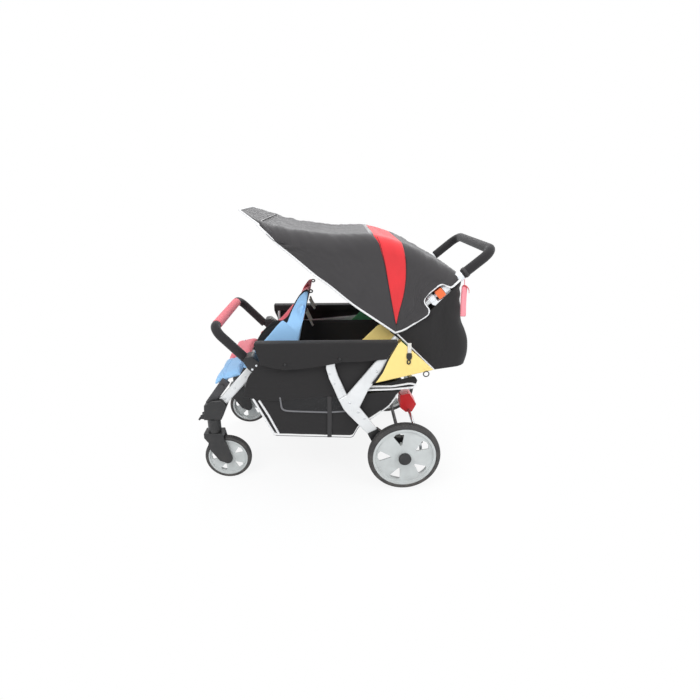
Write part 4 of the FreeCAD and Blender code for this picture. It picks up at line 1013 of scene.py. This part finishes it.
class STROLLER_OT_sew_canopy(bpy.types.Operator):
    """Sew the canopy's three panels and pipe its hems"""
    bl_idname = "stroller.sew_canopy"
    bl_label = "Sew canopy"

    def execute(self, context):
        sizes = context.scene.stroller_sizes
        front = canopy_panel("canopy_front_cloth", rib_front, 72, front_folds, (1, 0), "cloth_grey")
        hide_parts("canopy_front")
        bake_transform(front)
        wedge = canopy_panel("canopy_wedge_cloth", rib_wedge, 16, wedge_folds, (0, 0), "cloth_red")
        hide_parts("canopy_wedge")
        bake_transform(wedge)
        rear = canopy_panel("canopy_rear_cloth", rib_rear, 40, rear_folds, (0, 1), "cloth_grey")
        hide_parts("canopy_rear")
        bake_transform(rear)
        radius = sizes.piping_radius
        for word, _, side in SIDES:
            y = side * (CANOPY_HALF + 0.4)
            for end, line, body in (("front", FRONT_HEM[1:], "front_bow"), ("rear", REAR_HEM, "pusher")):
                trim(f"{end}_hem_piping_{word}", hem_places(line, y), radius, "piping", body, "plastic_white")
            for end, line in (("front", SEAM_FRONT), ("rear", SEAM_REAR)):
                trim(f"wedge_seam_{end}_{word}", hem_places(through(line, 4)[:-3], y + side * 0.9), 0.0009,
                     "cloth_black", "pusher", "cloth_black", sides=1)
        visor = [at(-262.0, -286.0, 1080.0), at(-356.0, -150.0, 1124.0), at(-357.0, 0.0, 1124.3),
                 at(-356.0, 150.0, 1124.0), at(-262.0, 286.0, 1080.0)]
        trim("visor_piping", visor, radius * 0.8, "piping", "front_bow", "plastic_white")
        return {"FINISHED"}


DROP_FRONT = cornered([
    (484.0, 866.0), (454.0, 832.0), (414.0, 791.0), (378.0, 752.0), (330.0, 722.0), (280.0, 692.0),
    (252.0, 662.0), (407.0, 507.0)], 12.0)
DROP_BACK = through([
    (492.0, 872.0), (500.0, 810.0), (505.0, 750.0), (514.0, 702.0), (528.0, 668.0), (541.0, 632.0),
    (546.0, 592.0), (545.0, 560.0), (538.0, 526.0)], 4)
DROP_HALF = 278.4
DROP_BEND = 46.0
DROP_EDGE = [(252.0, 661.0), (407.0, 508.0)]
DROP_EDGE_Y = 279.6


class STROLLER_OT_sew_rear_drop(bpy.types.Operator):
    """Sew the cloth that hangs behind the rear seats"""
    bl_idname = "stroller.sew_rear_drop"
    bl_label = "Sew rear drop"

    def execute(self, context):
        sizes = context.scene.stroller_sizes

        def put(u, v):
            rib = [along(DROP_FRONT, u), along(DROP_BACK, u)]
            x, y, z, turn, side = shell_place(rib, DROP_HALF, DROP_BEND, v)
            rest = arch(clamped(u)) ** 0.5
            slack = clamped((x - 330.0) / 90.0)
            broad = noise.noise(Vector((x / 55, y / 45, z / 260)))
            fold = broad + 0.5 * noise.noise(Vector((x / 24, y / 30, z / 150)))
            spokes = math.sin(math.atan2(x - 440.0, 812.0 - z) * 9)
            rays = bump(math.hypot(x - 452.0, z - 800.0), 70.0, 60.0) * spokes
            stand = rest * sizes.fold_depth * (0.9 * fold * slack + 0.5 * rays * slack - 0.35 * (1 - slack))
            out = Vector((math.sin(turn), side * math.cos(turn) * (0.35 if stand > 0 else 1.0), 0))
            return at(x, y, z) + out * stand

        drop = cloth_sheet("rear_drop_cloth", 54, 132, put, "cloth_black", sizes.canopy_cloth)
        dress(drop, "pusher", "cloth_black", "rear_drop")
        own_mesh(drop)
        for word, _, side in SIDES:
            edge = trim(f"drop_piping_{word}", hem_places(DROP_EDGE, side * DROP_EDGE_Y),
                        sizes.piping_radius * 0.8, "piping", "pusher", "plastic_white")
            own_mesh(edge)
        return {"FINISHED"}


BASKET_LOW = cornered([(-333.0, 412.0), (-329.0, 398.0), (-249.0, 227.0), (76.0, 212.0), (100.0, 260.0),
                       (226.0, 352.0), (272.0, 426.0)], 10.0)
BASKET_FRONT = ([(-329.0, 399.0), (-249.0, 229.0)], [(-305.0, 390.0), (-270.0, 322.0), (-231.0, 232.0)])
BASKET_REAR = [(100.0, 262.0), (160.0, 305.0), (226.0, 356.0), (262.0, 412.0)]
BASKET_ENDS, BASKET_RISE_X, BASKET_TOP_Z = (-333.0, 272.0), 120.0, 413.0
BASKET_HALF, BASKET_BEND = 300.0, 22.0
WINDOW = cornered([(-219.0, 404.0), (-214.0, 346.0), (-184.0, 340.0), (-24.0, 332.0), (60.0, 337.0),
                   (72.0, 404.0)], 14.0)
POCKET_LOW = [(142.0, 436.0), (235.0, 436.0), (330.0, 446.0)]
POCKET_TOP = cornered([(142.0, 446.0), (213.0, 459.0), (326.0, 490.0), (338.0, 470.0)], 8.0)
POCKET_BAND = [(140.0, 447.0), (235.0, 446.0), (308.0, 458.0), (337.0, 451.0), (322.0, 440.0),
               (235.0, 433.0), (136.0, 431.0)]
POCKET_STITCH = [(148.0, 441.0), (235.0, 439.5), (318.0, 448.0)]


class STROLLER_OT_sew_basket(bpy.types.Operator):
    """Sew the basket, its double piping, net window and strap"""
    bl_idname = "stroller.sew_basket"
    bl_label = "Sew basket"

    def execute(self, context):
        sizes = context.scene.stroller_sizes

        def put(u, v):
            low = along(BASKET_LOW, u)
            rise = max(0.0, (low[0] - BASKET_RISE_X) / 152.0) * 14.0
            top = (min(max(low[0], BASKET_ENDS[0]), BASKET_ENDS[1]), BASKET_TOP_Z + rise)
            x, y, z, turn, side = shell_place([top, low], BASKET_HALF, BASKET_BEND, v)
            across = max(0.0, 1 - (y / 290.0) ** 2)
            floor = arch(clamped((x + 300.0) / 390.0))
            sag = sizes.basket_sag * across * floor * (turn > 0.2)
            fold = ripple(at(x, y, z), 0.05, 8.0) + 0.4 * ripple(at(x, y, z), 0.018, 1.0)
            puff = sizes.fold_depth * fold * 0.7
            return at(x, y, z) + Vector((0, side * math.cos(turn) * puff, -sag + math.sin(turn) * puff * 0.6))

        basket = cloth_sheet("basket_cloth", 70, 120, put, "cloth_black", sizes.canopy_cloth)
        dress(basket, "base", "cloth_black", "basket")
        for word, _, side in SIDES:
            for row, line in zip(("outer", "inner"), BASKET_FRONT):
                trim(f"basket_piping_{row}_{word}", hem_places(line, side * 302.0), 0.0044, "piping", "base",
                     "plastic_white")
            trim(f"basket_hem_{word}", hem_places(BASKET_LOW[8:-6], side * 301.4), 0.0016, "grey_binding",
                 "base", "cloth_grey")
            trim(f"basket_rear_piping_{word}", hem_places(cornered(BASKET_REAR, 20.0), side * 302.0), 0.0026,
                 "piping", "base", "plastic_white")
            trim(f"window_binding_{word}", hem_places(WINDOW, side * 302.6), 0.0036, "grey_binding", "base",
                 "cloth_grey")

            def pane(u, v):
                x, z = between(along(WINDOW, 0.5 * v), along(WINDOW, 1 - 0.5 * v), u)
                return at(x, side * (302.0 + 1.2 * arch(u)), z)

            net = cloth_sheet(f"window_net_{word}", 16, 16, pane, "net", 0.0)
            dress(net, "base", "cloth_black")
            fall = [at(-19, side * 304.4, 404), at(-19, side * 306.0, 330), at(-21, side * 304.0, 216)]
            strap = webbing(f"basket_strap_{word}", fall, (1, 0, 0), 0.018, "webbing_black")
            dress(strap, "base", "cloth_black")

            def pocket(u, v):
                x, z = between(along(POCKET_LOW, u), along(POCKET_TOP, u), v)
                return at(x, side * (300.4 + 1.5 * ripple(at(x, 0, z), 0.04, 3.0) * arch(v)), z)

            cloth = cloth_sheet(f"rear_pocket_{word}", 30, 12, pocket, "cloth_black", sizes.canopy_cloth)
            dress(cloth, "base", "cloth_black")
            trim(f"pocket_band_{word}", hem_places(cornered(POCKET_BAND, 9.0), side * 303.2), 0.0042, "piping",
                 "base", "plastic_white")
            trim(f"pocket_stitch_{word}", hem_places(POCKET_STITCH, side * 304.0), 0.0012, "cloth_black",
                 "base", "cloth_black", sides=1)
        return {"FINISHED"}


FLAP_LOW = through([(-284.0, 556.0), (-262.0, 549.0), (-230.0, 540.0), (-190.0, 534.0), (-136.0, 537.0),
                    (-80.0, 543.0), (-20.0, 552.0), (40.0, 564.0), (103.0, 565.0), (208.0, 573.0)], 4)
PANEL_LOW = through([(-367.0, 407.0), (-320.0, 397.0), (-262.0, 390.0), (-184.0, 391.0), (-100.0, 399.0),
                     (-9.0, 408.0), (60.0, 420.0), (110.0, 434.0), (155.0, 453.0)], 4)
SIDE_LEFT = cornered([(150.0, 470.0), (183.0, 514.0), (209.0, 570.0), (250.0, 636.0)], 20.0)
SIDE_RIGHT = [(394.0, 527.0), (330.0, 586.0), (262.0, 646.0)]
SNAPS = ((-189.0, 556.0), (24.0, 577.0))
RAIL_Y, RAIL_Z, RAIL_WRAP = 307.0, 638.0, 22.4
RAIL_ENDS = (-304.0, 250.0)
WALL_Y, REAR_SIDE_Y, SNAP_Y = 303.6, 329.5, 331.0
# The shares of a flap at which it leaves the lip and comes down over the rail
LIP_END, WRAP_END = 0.2, 0.42


class STROLLER_OT_sew_side_panels(bpy.types.Operator):
    """Sew the flaps and walls beside the seats, and the coloured cloth behind them"""
    bl_idname = "stroller.sew_side_panels"
    bl_label = "Sew side panels"

    def execute(self, context):
        sizes = context.scene.stroller_sizes
        thick = sizes.panel_cloth
        for word, _, side in SIDES:
            def flap(u, v):
                """From the lip inside the armrest, over the top and down the outer face."""
                if v < LIP_END:
                    y, z, drop = 284.6, 612.0 + 26.0 * v / LIP_END, 0.0
                elif v < WRAP_END:
                    turn = (v - LIP_END) / 0.22 * math.pi
                    y, z, drop = RAIL_Y - RAIL_WRAP * math.cos(turn), RAIL_Z + 3.0 * math.sin(turn), 0.0
                else:
                    y, z, drop = 329.4, RAIL_Z, (v - WRAP_END) / 0.58
                left = between((RAIL_ENDS[0], RAIL_Z), FLAP_LOW[0], drop)
                right = between((RAIL_ENDS[1], 636.0), FLAP_LOW[-1], drop)
                x = left[0] + (right[0] - left[0]) * u
                z += (along(FLAP_LOW, u)[1] - RAIL_Z) * drop
                spot = (x / 1000, 0, z / 1000)
                fold = ripple(spot, 0.07, 2.5) + 0.5 * ripple(spot, 0.025, 5.0)
                puff = drop * (2.4 * arch(min(drop, 0.9)) + 1.6 * fold)
                puff += drop * sum(1.9 * math.cos(7 * math.atan2(x - s[0], z - s[1] + 0.1)) *
                                   math.exp(-math.dist((x, z), s) / 42.0) for s in SNAPS)
                dent = 1.6 * drop * sum(bump(x, s[0], 14.0) * bump(z, s[1], 12.0) for s in SNAPS)
                hem = 0.8 * bump(drop, 0.93, 0.015)
                return at(x, side * (y + max(puff, -0.6) - dent - hem), z)

            roll = cloth_sheet(f"side_flap_{word}", 70, 60, flap, "cloth_black", thick)
            dress(roll, "base", "cloth_black", f"side_panel_{word}")

            def wall(u, v):
                """From the armrest rail down to the lower hem."""
                top = (RAIL_ENDS[0] + (RAIL_ENDS[1] - RAIL_ENDS[0]) * u, 636.0)
                x, z = between(top, along(PANEL_LOW, u), v)
                x += (1 - u) ** 3 * 34.0 * bump(z, 556.0, 40.0)
                crease = -1.3 * bump(z, 520.0, 5.0) + 1.2 * bump(z, 470.0, 22.0) - 1.0 * bump(z, 448.0, 6.0)
                fold = ripple((x / 1000, 0, z / 1000), 0.06, 9.0)
                fold += 0.5 * ripple((x / 1400, 0, z / 1000), 0.02, 3.0)
                stand = arch(clamped(v)) * (1.3 * fold + crease)
                stand = min(max(stand, -1.4), 2.2) - 0.8 * bump(v, 0.965, 0.008)
                return at(x, side * (WALL_Y + stand), z)

            lower = cloth_sheet(f"side_wall_{word}", 70, 60, wall, "cloth_black", thick)
            dress(lower, "base", "cloth_black")
            look = "cloth_yellow" if side < 0 else "cloth_green"

            def rear(u, v):
                """Between its two edges, full in the middle and with a stitched hem below."""
                x, z = between(along(SIDE_LEFT, v), along(SIDE_RIGHT, v), u)
                edge = arch(u) * arch(clamped(v))
                fold = ripple((x / 1000, 0, z / 1000), 0.05, 7.0) + 0.6 * math.sin(u * 9 + v * 4) * (1 - v)
                hem = 0.7 * (bump(v, 0.05, 0.008) + bump(v, 0.10, 0.008))
                return at(x, side * (REAR_SIDE_Y + edge * (1.2 + 1.1 * fold) - hem), z)

            tail = cloth_sheet(f"rear_side_cloth_{word}", 44, 40, rear, look, thick)
            dress(tail, "base", SLOT_OF_LOOK[look], f"rear_side_{word}")
            tail.data.materials.append(FINISHES["cloth_black"])
            cut = tail.data.uv_layers[0].data
            for face in tail.data.polygons:
                face.material_index = 1 if cut[face.loop_indices[0]].uv[0] < 0.05 else 0
        places = [(at(x, side * SNAP_Y, z), side) for x, z in SNAPS for side in (-1, 1)]
        dress(domes("flap_snaps", places, 0.0062, 0.0034, "plastic_black"), "base", "plastic_black")
        return {"FINISHED"}


class STROLLER_OT_pad_seats(bpy.types.Operator):
    """Fill and sew the seats, leg rests, backs and their padded sides"""
    bl_idname = "stroller.pad_seats"
    bl_label = "Pad seats"

    def execute(self, context):
        y0, y1 = -SEAT_SPAN[1], -SEAT_SPAN[0]
        wide, inner = (y0 + 2, y1 - 2), (y0 + 9, y1 - 9)
        pads = (
            ("front_cushion", (-366.0, 505.0), -16.0, 186.0, inner, 25.0, 0.45, (0.3, 0.7), "front_seat",
             "base"),
            ("leg_rest", (-489.0, 442.0), 15.0, 112.0, wide, 17.0, 1.0, (0.38,), None, "base"),
            ("rear_cushion", (-45.0, 472.0), -13.0, 190.0, inner, 25.0, 1.0, (0.3, 0.7), "rear_seat", "base"),
            ("front_rest", (-173.0, 468.0), 78.3, 308.0, inner, 21.0, 1.0, (0.2, 0.4, 0.6, 0.8), "front_back",
             "front_back"),
            ("rear_rest", (158.0, 455.0), 15.0, 290.0, inner, 21.0, 1.0, (0.25, 0.5, 0.75), "rear_back",
             "rear_back"),
        )
        looks = {"front": ("cloth_blue", "cloth_pink"), "rear": ("cloth_yellow", "cloth_green")}
        for name, point, angle, length, span, thick, nose, channels, node, body in pads:
            near_look, far_look = looks["rear" if name.startswith("rear") else "front"]
            pad = pad_block(f"{name}_left", point, angle, length, *span, thick, near_look, nose,
                            30.0 if name == "leg_rest" else 0.0)
            pad = fill_pad(pad, point, angle, length, channels)
            twin = other_colour(pad, f"{name}_right", far_look)
            for (word, letter, _), piece, look in zip(SIDES, (pad, twin), (near_look, far_look)):
                rides = body if body == "base" else f"{body}_{letter}"
                nodes = [f"{node}_{word}"] if node else []
                dress(piece, rides, SLOT_OF_LOOK[look], *nodes)
        for (word, letter, side), front, rear in zip(SIDES, looks["front"], looks["rear"]):
            far = side > 0
            sets = (
                ("front_wing", FRONT_WING_UPPER, WING_Y, front, FRONT_SLUMP if far else 0.0, GATHER),
                ("front_lining", FRONT_LINING_UPPER, LINING_Y, "cloth_black", 0.0, 0.0),
            )
            for name, upper, y, look, slump, gather in sets:
                piece = wing(f"{name}_{word}", upper, FRONT_WING_LOWER, side * y, look, slump, gather)
                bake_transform(piece)
            piece = wing(f"rear_wing_{word}", REAR_WING_UPPER, REAR_WING_LOWER, side * WING_Y, rear,
                         REAR_SLUMP if far else 0.0)
            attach(piece, "base")

        def divider(u, v):
            x, z = between(along(DIVIDER_LOW, u), along(DIVIDER_TOP, u), v)
            return at(x, 1.2 * ripple(at(x, 0, z), 0.06, 5.0) * arch(v), z)

        cloth = cloth_sheet("seat_divider", 60, 16, divider, "cloth_black",
                            context.scene.stroller_sizes.panel_cloth)
        dress(cloth, "base", "cloth_black")
        return {"FINISHED"}


FOAM_RADIUS, GRIP_RADIUS = 0.019, 0.020
BUMPER_FOOT, BUMPER_TOP, BUMPER_Y = (-352.0, 552.8), (-473.0, 680.0), 255.4
SOCKET_Y = (241.0, 303.0)
SOCKET = cornered([(-357.0, 560.0), (-346.0, 578.0), (-322.0, 581.0), (-300.0, 562.0), (-276.0, 543.0),
                   (-300.0, 520.0), (-317.0, 505.0), (-341.0, 528.0), (-357.0, 560.0)], 4.0, 2)[:-1]


class STROLLER_OT_wrap_foam(bpy.types.Operator):
    """Slip the foam over the handle and the bumper"""
    bl_idname = "stroller.wrap_foam"
    bl_label = "Wrap foam"

    def execute(self, context):
        ahead = lock_place(1, 0) - lock_place(0, 0)
        quarter = math.pi / 2
        grip = sleeve("handle_grip", lock_place(114, -TUBE_Y), ahead, [
            ("go", 0.093), ("turn", quarter, (0, 1, 0), 0.050), ("go", 0.424),
            ("turn", quarter, -ahead.normalized(), 0.050), ("go", 0.093)], FOAM_RADIUS, "foam_black")
        dress(grip, "handle", "foam_black", "handle_foam")
        rise = Vector((BUMPER_TOP[0] - BUMPER_FOOT[0], 0, BUMPER_TOP[1] - BUMPER_FOOT[1])).normalized()
        for word, _, side in SIDES:
            start = at(BUMPER_FOOT[0], side * BUMPER_Y, BUMPER_FOOT[1])
            arm = sleeve(f"bumper_sleeve_{word}", start, rise, [
                ("go", 0.1276), ("turn", quarter, (0, -side, 0), 0.048), ("go", 0.0119)], FOAM_RADIUS,
                "foam_black")
            dress(arm, "base", "foam_black", *(["bumper_arm_foam"] if side < 0 else []))
            socket = moulding(f"bumper_socket_{word}", SOCKET, side * SOCKET_Y[0], side * SOCKET_Y[1], 3.0,
                              "plastic_black")
            dress(socket, "base", "plastic_black", *(["bumper_brackets"] if side < 0 else []))
        middle = sleeve("bumper_middle_grip", at(BUMPER_TOP[0], -195.0, BUMPER_TOP[1]), (0, 1, 0),
                        [("go", 0.390)], GRIP_RADIUS, "foam_red")
        dress(middle, "base", "foam_red", "bumper_grip")
        return {"FINISHED"}


LOOP_RADIUS = 20.4
SLIDE = cornered([(285.0, 598.0), (305.0, 598.0), (306.0, 578.0), (295.0, 566.0), (284.0, 578.0),
                  (285.0, 598.0)], 4.0, 2)[:-1]


class STROLLER_OT_thread_straps(bpy.types.Operator):
    """Thread the wrist strap, the recline straps and the loops on the seat backs"""
    bl_idname = "stroller.thread_straps"
    bl_label = "Thread straps"

    def execute(self, context):
        y = -TUBE_Y - 6.0
        fall = [at(507, y + 1.6, 848), at(506, y + 2.0, 820), at(507, y + 2.2, 780), at(510, y + 1.8, 731),
                at(511, y, 728), at(512, y - 1.8, 732), at(509, y - 2.2, 780), at(508, y - 1.6, 848)]
        line = [at(506, -TUBE_Y, 880), at(506, y, 862), at(507, y, 846)]
        cord = piping("wrist_strap_cord", line, 0.0016, "webbing_pink", sides=8)
        dress(cord, "handle", "webbing_pink")
        tail = webbing("wrist_strap_tail", through([tuple(p) for p in fall], 5), (1, 0, 0), 0.019,
                       "webbing_pink", steps=40)
        dress(tail, "handle", "webbing_pink", "wrist_strap")
        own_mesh(tail)
        loop = []
        for n in range(25):
            turn = math.tau * n / 24
            out, up = LOOP_RADIUS * math.cos(turn), LOOP_RADIUS * math.sin(turn)
            loop.append(tuple(lock_place(127, -TUBE_Y + out, up)))
        ahead = lock_place(1, 0) - lock_place(0, 0)
        band = webbing("wrist_strap_loop", loop, ahead.normalized(), 0.012, "webbing_black")
        dress(band, "handle", "webbing_pink")
        bent = [at(500, y, 850), at(510, y - 1, 850), at(519, y - 2, 843), at(525, y - 3, 832),
                at(526, y - 3, 822)]
        curl = webbing("wrist_strap_curl", through([tuple(p) for p in bent], 4), (0.3, 0.95, 0), 0.012,
                       "cloth_red", steps=16)
        dress(curl, "handle", "webbing_pink")
        for word, letter, side in SIDES:
            face = side * 332.6
            hang = [at(294, face, 640), at(295, face, 620), at(295, face, 599)]
            strap = webbing(f"recline_webbing_{word}", hang, (1, 0, 0), 0.015, "webbing_light", steps=10)
            nodes = ["recline_straps"] if side < 0 else []
            dress(strap, "base", "webbing_light", *nodes)
            slide = moulding(f"recline_slide_{word}", SLIDE, side * 331.2, side * 335.4, 0.8, "plastic_black")
            dress(slide, "base", "plastic_black")
            rings = (("recline_hook", oval(294, side * 334.0, 563, 6, 9, 20), 0.0024),
                     ("recline_ring", oval(366, side * 331.0, 510, 11, 11, 24), 0.0022))
            for name, ring, radius in rings:
                trim(f"{name}_{word}", ring, radius, "plastic_black", "base", "plastic_black", closed=True)
            back = f"front_back_{letter}"
            for name, line, length in (("seat_tie", ((-104, 745), (-95, 722), (-81, 700)), 0.051),
                                       ("seat_tie_end", ((-121, 686), (-108, 656), (-92, 622)), 0.070)):
                places = [at(x, side * 24, z) for x, z in line]
                tie = webbing(f"{name}_{word}", places, (0.35, 0.9, 0.2), 0.014, "webbing_light", steps=10)
                dress(tie, back, "webbing_light")
            trim(f"seat_clip_{word}", oval(-99, 106 + side * 120, 777, 8, 6, 16), 0.0030, "plastic_black", back,
                 "plastic_black", closed=True)
        return {"FINISHED"}


RIVETS = ((171.0, 520.0), (64.0, 384.0), (98.0, 341.0), (124.0, 312.0))
STAY_RIVETS = ((-16.0, 512.0), (4.0, 470.0))
LEG_RIVETS = ((-452.0, 378.0), (-410.0, 424.0), (-362.0, 476.0))
SOCKET_SCREWS = ((-322.0, 526.0), (-305.0, 542.0))


class STROLLER_OT_set_rivets(bpy.types.Operator):
    """Set the rivets of the legs, stays and brackets"""
    bl_idname = "stroller.set_rivets"
    bl_label = "Set rivets"

    def execute(self, context):
        groups = (
            ("rear_leg_rivets", RIVETS, 324.0, 0.0052, "rear_frame", "metal_bright"),
            ("stay_rivets", STAY_RIVETS, 324.0, 0.0042, "base", "metal_bright"),
            ("front_leg_rivets", LEG_RIVETS, 257.0, 0.0042, "base", "metal_bright"),
            ("socket_screws", SOCKET_SCREWS, 303.0, 0.0050, "base", "plastic_white"),
        )
        for name, points, y, radius, body, look in groups:
            places = [(at(x, side * y, z), side) for x, z in points for side in (-1, 1)]
            dress(domes(name, places, radius, radius * 0.45, look), body, look)
        return {"FINISHED"}


LENS, SENSOR = 23.5, 36
CAMERA_PLACE = (-0.0165, -1.993, 1.206)
CAMERA_DOWN, CAMERA_PAN = 19.6, -1.7
LOOKED_AT = (0, 0, 0.5)
# Each soft light: its place, its width in metres and its power in watts
LIGHTS = {
    "key_light": ((-1.6, -2.6, 3.2), 2.4, 78.0),
    "fill_light": ((2.4, -2.2, 2.2), 2.2, 42.0),
    "top_light": ((0.2, 0.6, 3.6), 2.6, 55.0),
    "back_light": ((0.4, 3.2, 2.4), 2.2, 40.0),
}
FLOOR_HALF = 30
FLOOR_GREY = 0.86
SKY_COLOUR, SKY_STRENGTH = (0.92, 0.95, 1.0), 0.55


class STROLLER_OT_set_stage(bpy.types.Operator):
    """Set the camera, the soft lights and the pale floor"""
    bl_idname = "stroller.set_stage"
    bl_label = "Set stage"

    def execute(self, context):
        scene = context.scene
        lens = bpy.data.cameras.new("photo_view")
        lens.lens = LENS
        lens.sensor_width = SENSOR
        camera = placed("photo_view", lens)
        camera.location = CAMERA_PLACE
        camera.rotation_euler = (math.radians(90 - CAMERA_DOWN), 0, math.radians(CAMERA_PAN))
        scene.camera = camera
        for name, (place, size, power) in LIGHTS.items():
            lamp = bpy.data.lights.new(name, "AREA")
            lamp.shape = "SQUARE"
            lamp.size = size
            lamp.energy = power
            holder = placed(name, lamp)
            holder.location = place
            holder.rotation_mode = "QUATERNION"
            holder.rotation_quaternion = (Vector(LOOKED_AT) - Vector(place)).to_track_quat("-Z", "Y")
        bm = bmesh.new()
        bmesh.ops.create_grid(bm, x_segments=1, y_segments=1, size=FLOOR_HALF)
        mesh = bpy.data.meshes.new("floor")
        bm.to_mesh(mesh)
        bm.free()
        floor = placed("floor", mesh)
        paint = bpy.data.materials.new("floor_paint")
        paint.use_nodes = True
        tree = paint.node_tree
        shader = tree.nodes["Principled BSDF"]
        shader.inputs["Base Color"].default_value = (FLOOR_GREY, FLOOR_GREY, FLOOR_GREY, 1)
        shader.inputs["Roughness"].default_value = 0.9
        shader.inputs["Specular IOR Level"].default_value = 0.1
        glow = add(tree, "ShaderNodeEmission", [("Color", (1, 1, 1, 1)), ("Strength", 1.0)])
        rays = tree.nodes.new("ShaderNodeLightPath")
        place = tree.nodes.new("ShaderNodeTexCoord").outputs["Object"]
        far = add(tree, "ShaderNodeVectorMath", [(0, place)], operation="LENGTH").outputs["Value"]
        seen = maths(tree, "MULTIPLY", rays.outputs["Is Camera Ray"],
                     spread(tree, far, 0.45, 0.95, FLOOR_GREY, 1.0))
        blend = add(tree, "ShaderNodeMixShader", [(0, seen), (1, shader.outputs[0]), (2, glow.outputs[0])])
        tree.links.new(blend.outputs[0], tree.nodes["Material Output"].inputs["Surface"])
        mesh.materials.append(paint)
        world = bpy.data.worlds.new("studio")
        scene.world = world
        world.use_nodes = True
        sky = world.node_tree
        background = sky.nodes["Background"]
        background.inputs["Color"].default_value = (*SKY_COLOUR, 1)
        background.inputs["Strength"].default_value = SKY_STRENGTH
        white = add(sky, "ShaderNodeBackground", [("Color", (1, 1, 1, 1)), ("Strength", 1.0)])
        rays = sky.nodes.new("ShaderNodeLightPath")
        shown = maths(sky, "MAXIMUM", rays.outputs["Is Camera Ray"],
                      maths(sky, "MAXIMUM", rays.outputs["Is Glossy Ray"], rays.outputs["Is Transmission Ray"]))
        mixed = add(sky, "ShaderNodeMixShader", [(0, shown), (1, background.outputs[0]), (2, white.outputs[0])])
        sky.links.new(mixed.outputs[0], sky.nodes["World Output"].inputs["Surface"])
        scene.view_settings.view_transform = "Standard"
        return {"FINISHED"}


class STROLLER_PT_workshop(bpy.types.Panel):
    """Lists the steps that dress the stroller"""
    bl_label = "Daycare stroller"
    bl_space_type = "VIEW_3D"
    bl_region_type = "UI"
    bl_category = "Stroller"

    def draw(self, context):
        for step in STEPS:
            self.layout.operator(step.bl_idname)
        for group in (context.scene.stroller_sizes, context.scene.stroller_colours):
            box = self.layout.box()
            for key in group.__annotations__:
                box.prop(group, key)


STEPS = (
    STROLLER_OT_finish_frame, STROLLER_OT_set_stage, STROLLER_OT_fit_tyres, STROLLER_OT_wrap_foam,
    STROLLER_OT_sew_canopy, STROLLER_OT_sew_rear_drop, STROLLER_OT_sew_basket, STROLLER_OT_sew_side_panels,
    STROLLER_OT_pad_seats, STROLLER_OT_thread_straps, STROLLER_OT_set_rivets,
)
CLASSES = (StrollerColours, StrollerSizes, *STEPS, STROLLER_PT_workshop)


def register():
    for part in CLASSES:
        bpy.utils.register_class(part)
    bpy.types.Scene.stroller_colours = bpy.props.PointerProperty(type=StrollerColours)
    bpy.types.Scene.stroller_sizes = bpy.props.PointerProperty(type=StrollerSizes)


def unregister():
    del bpy.types.Scene.stroller_sizes
    del bpy.types.Scene.stroller_colours
    for part in reversed(CLASSES):
        bpy.utils.unregister_class(part)


def main():
    register()
    for step in STEPS:
        group, name = step.bl_idname.split(".")
        getattr(getattr(bpy.ops, group), name)()


if __name__ == "__main__":
    main()
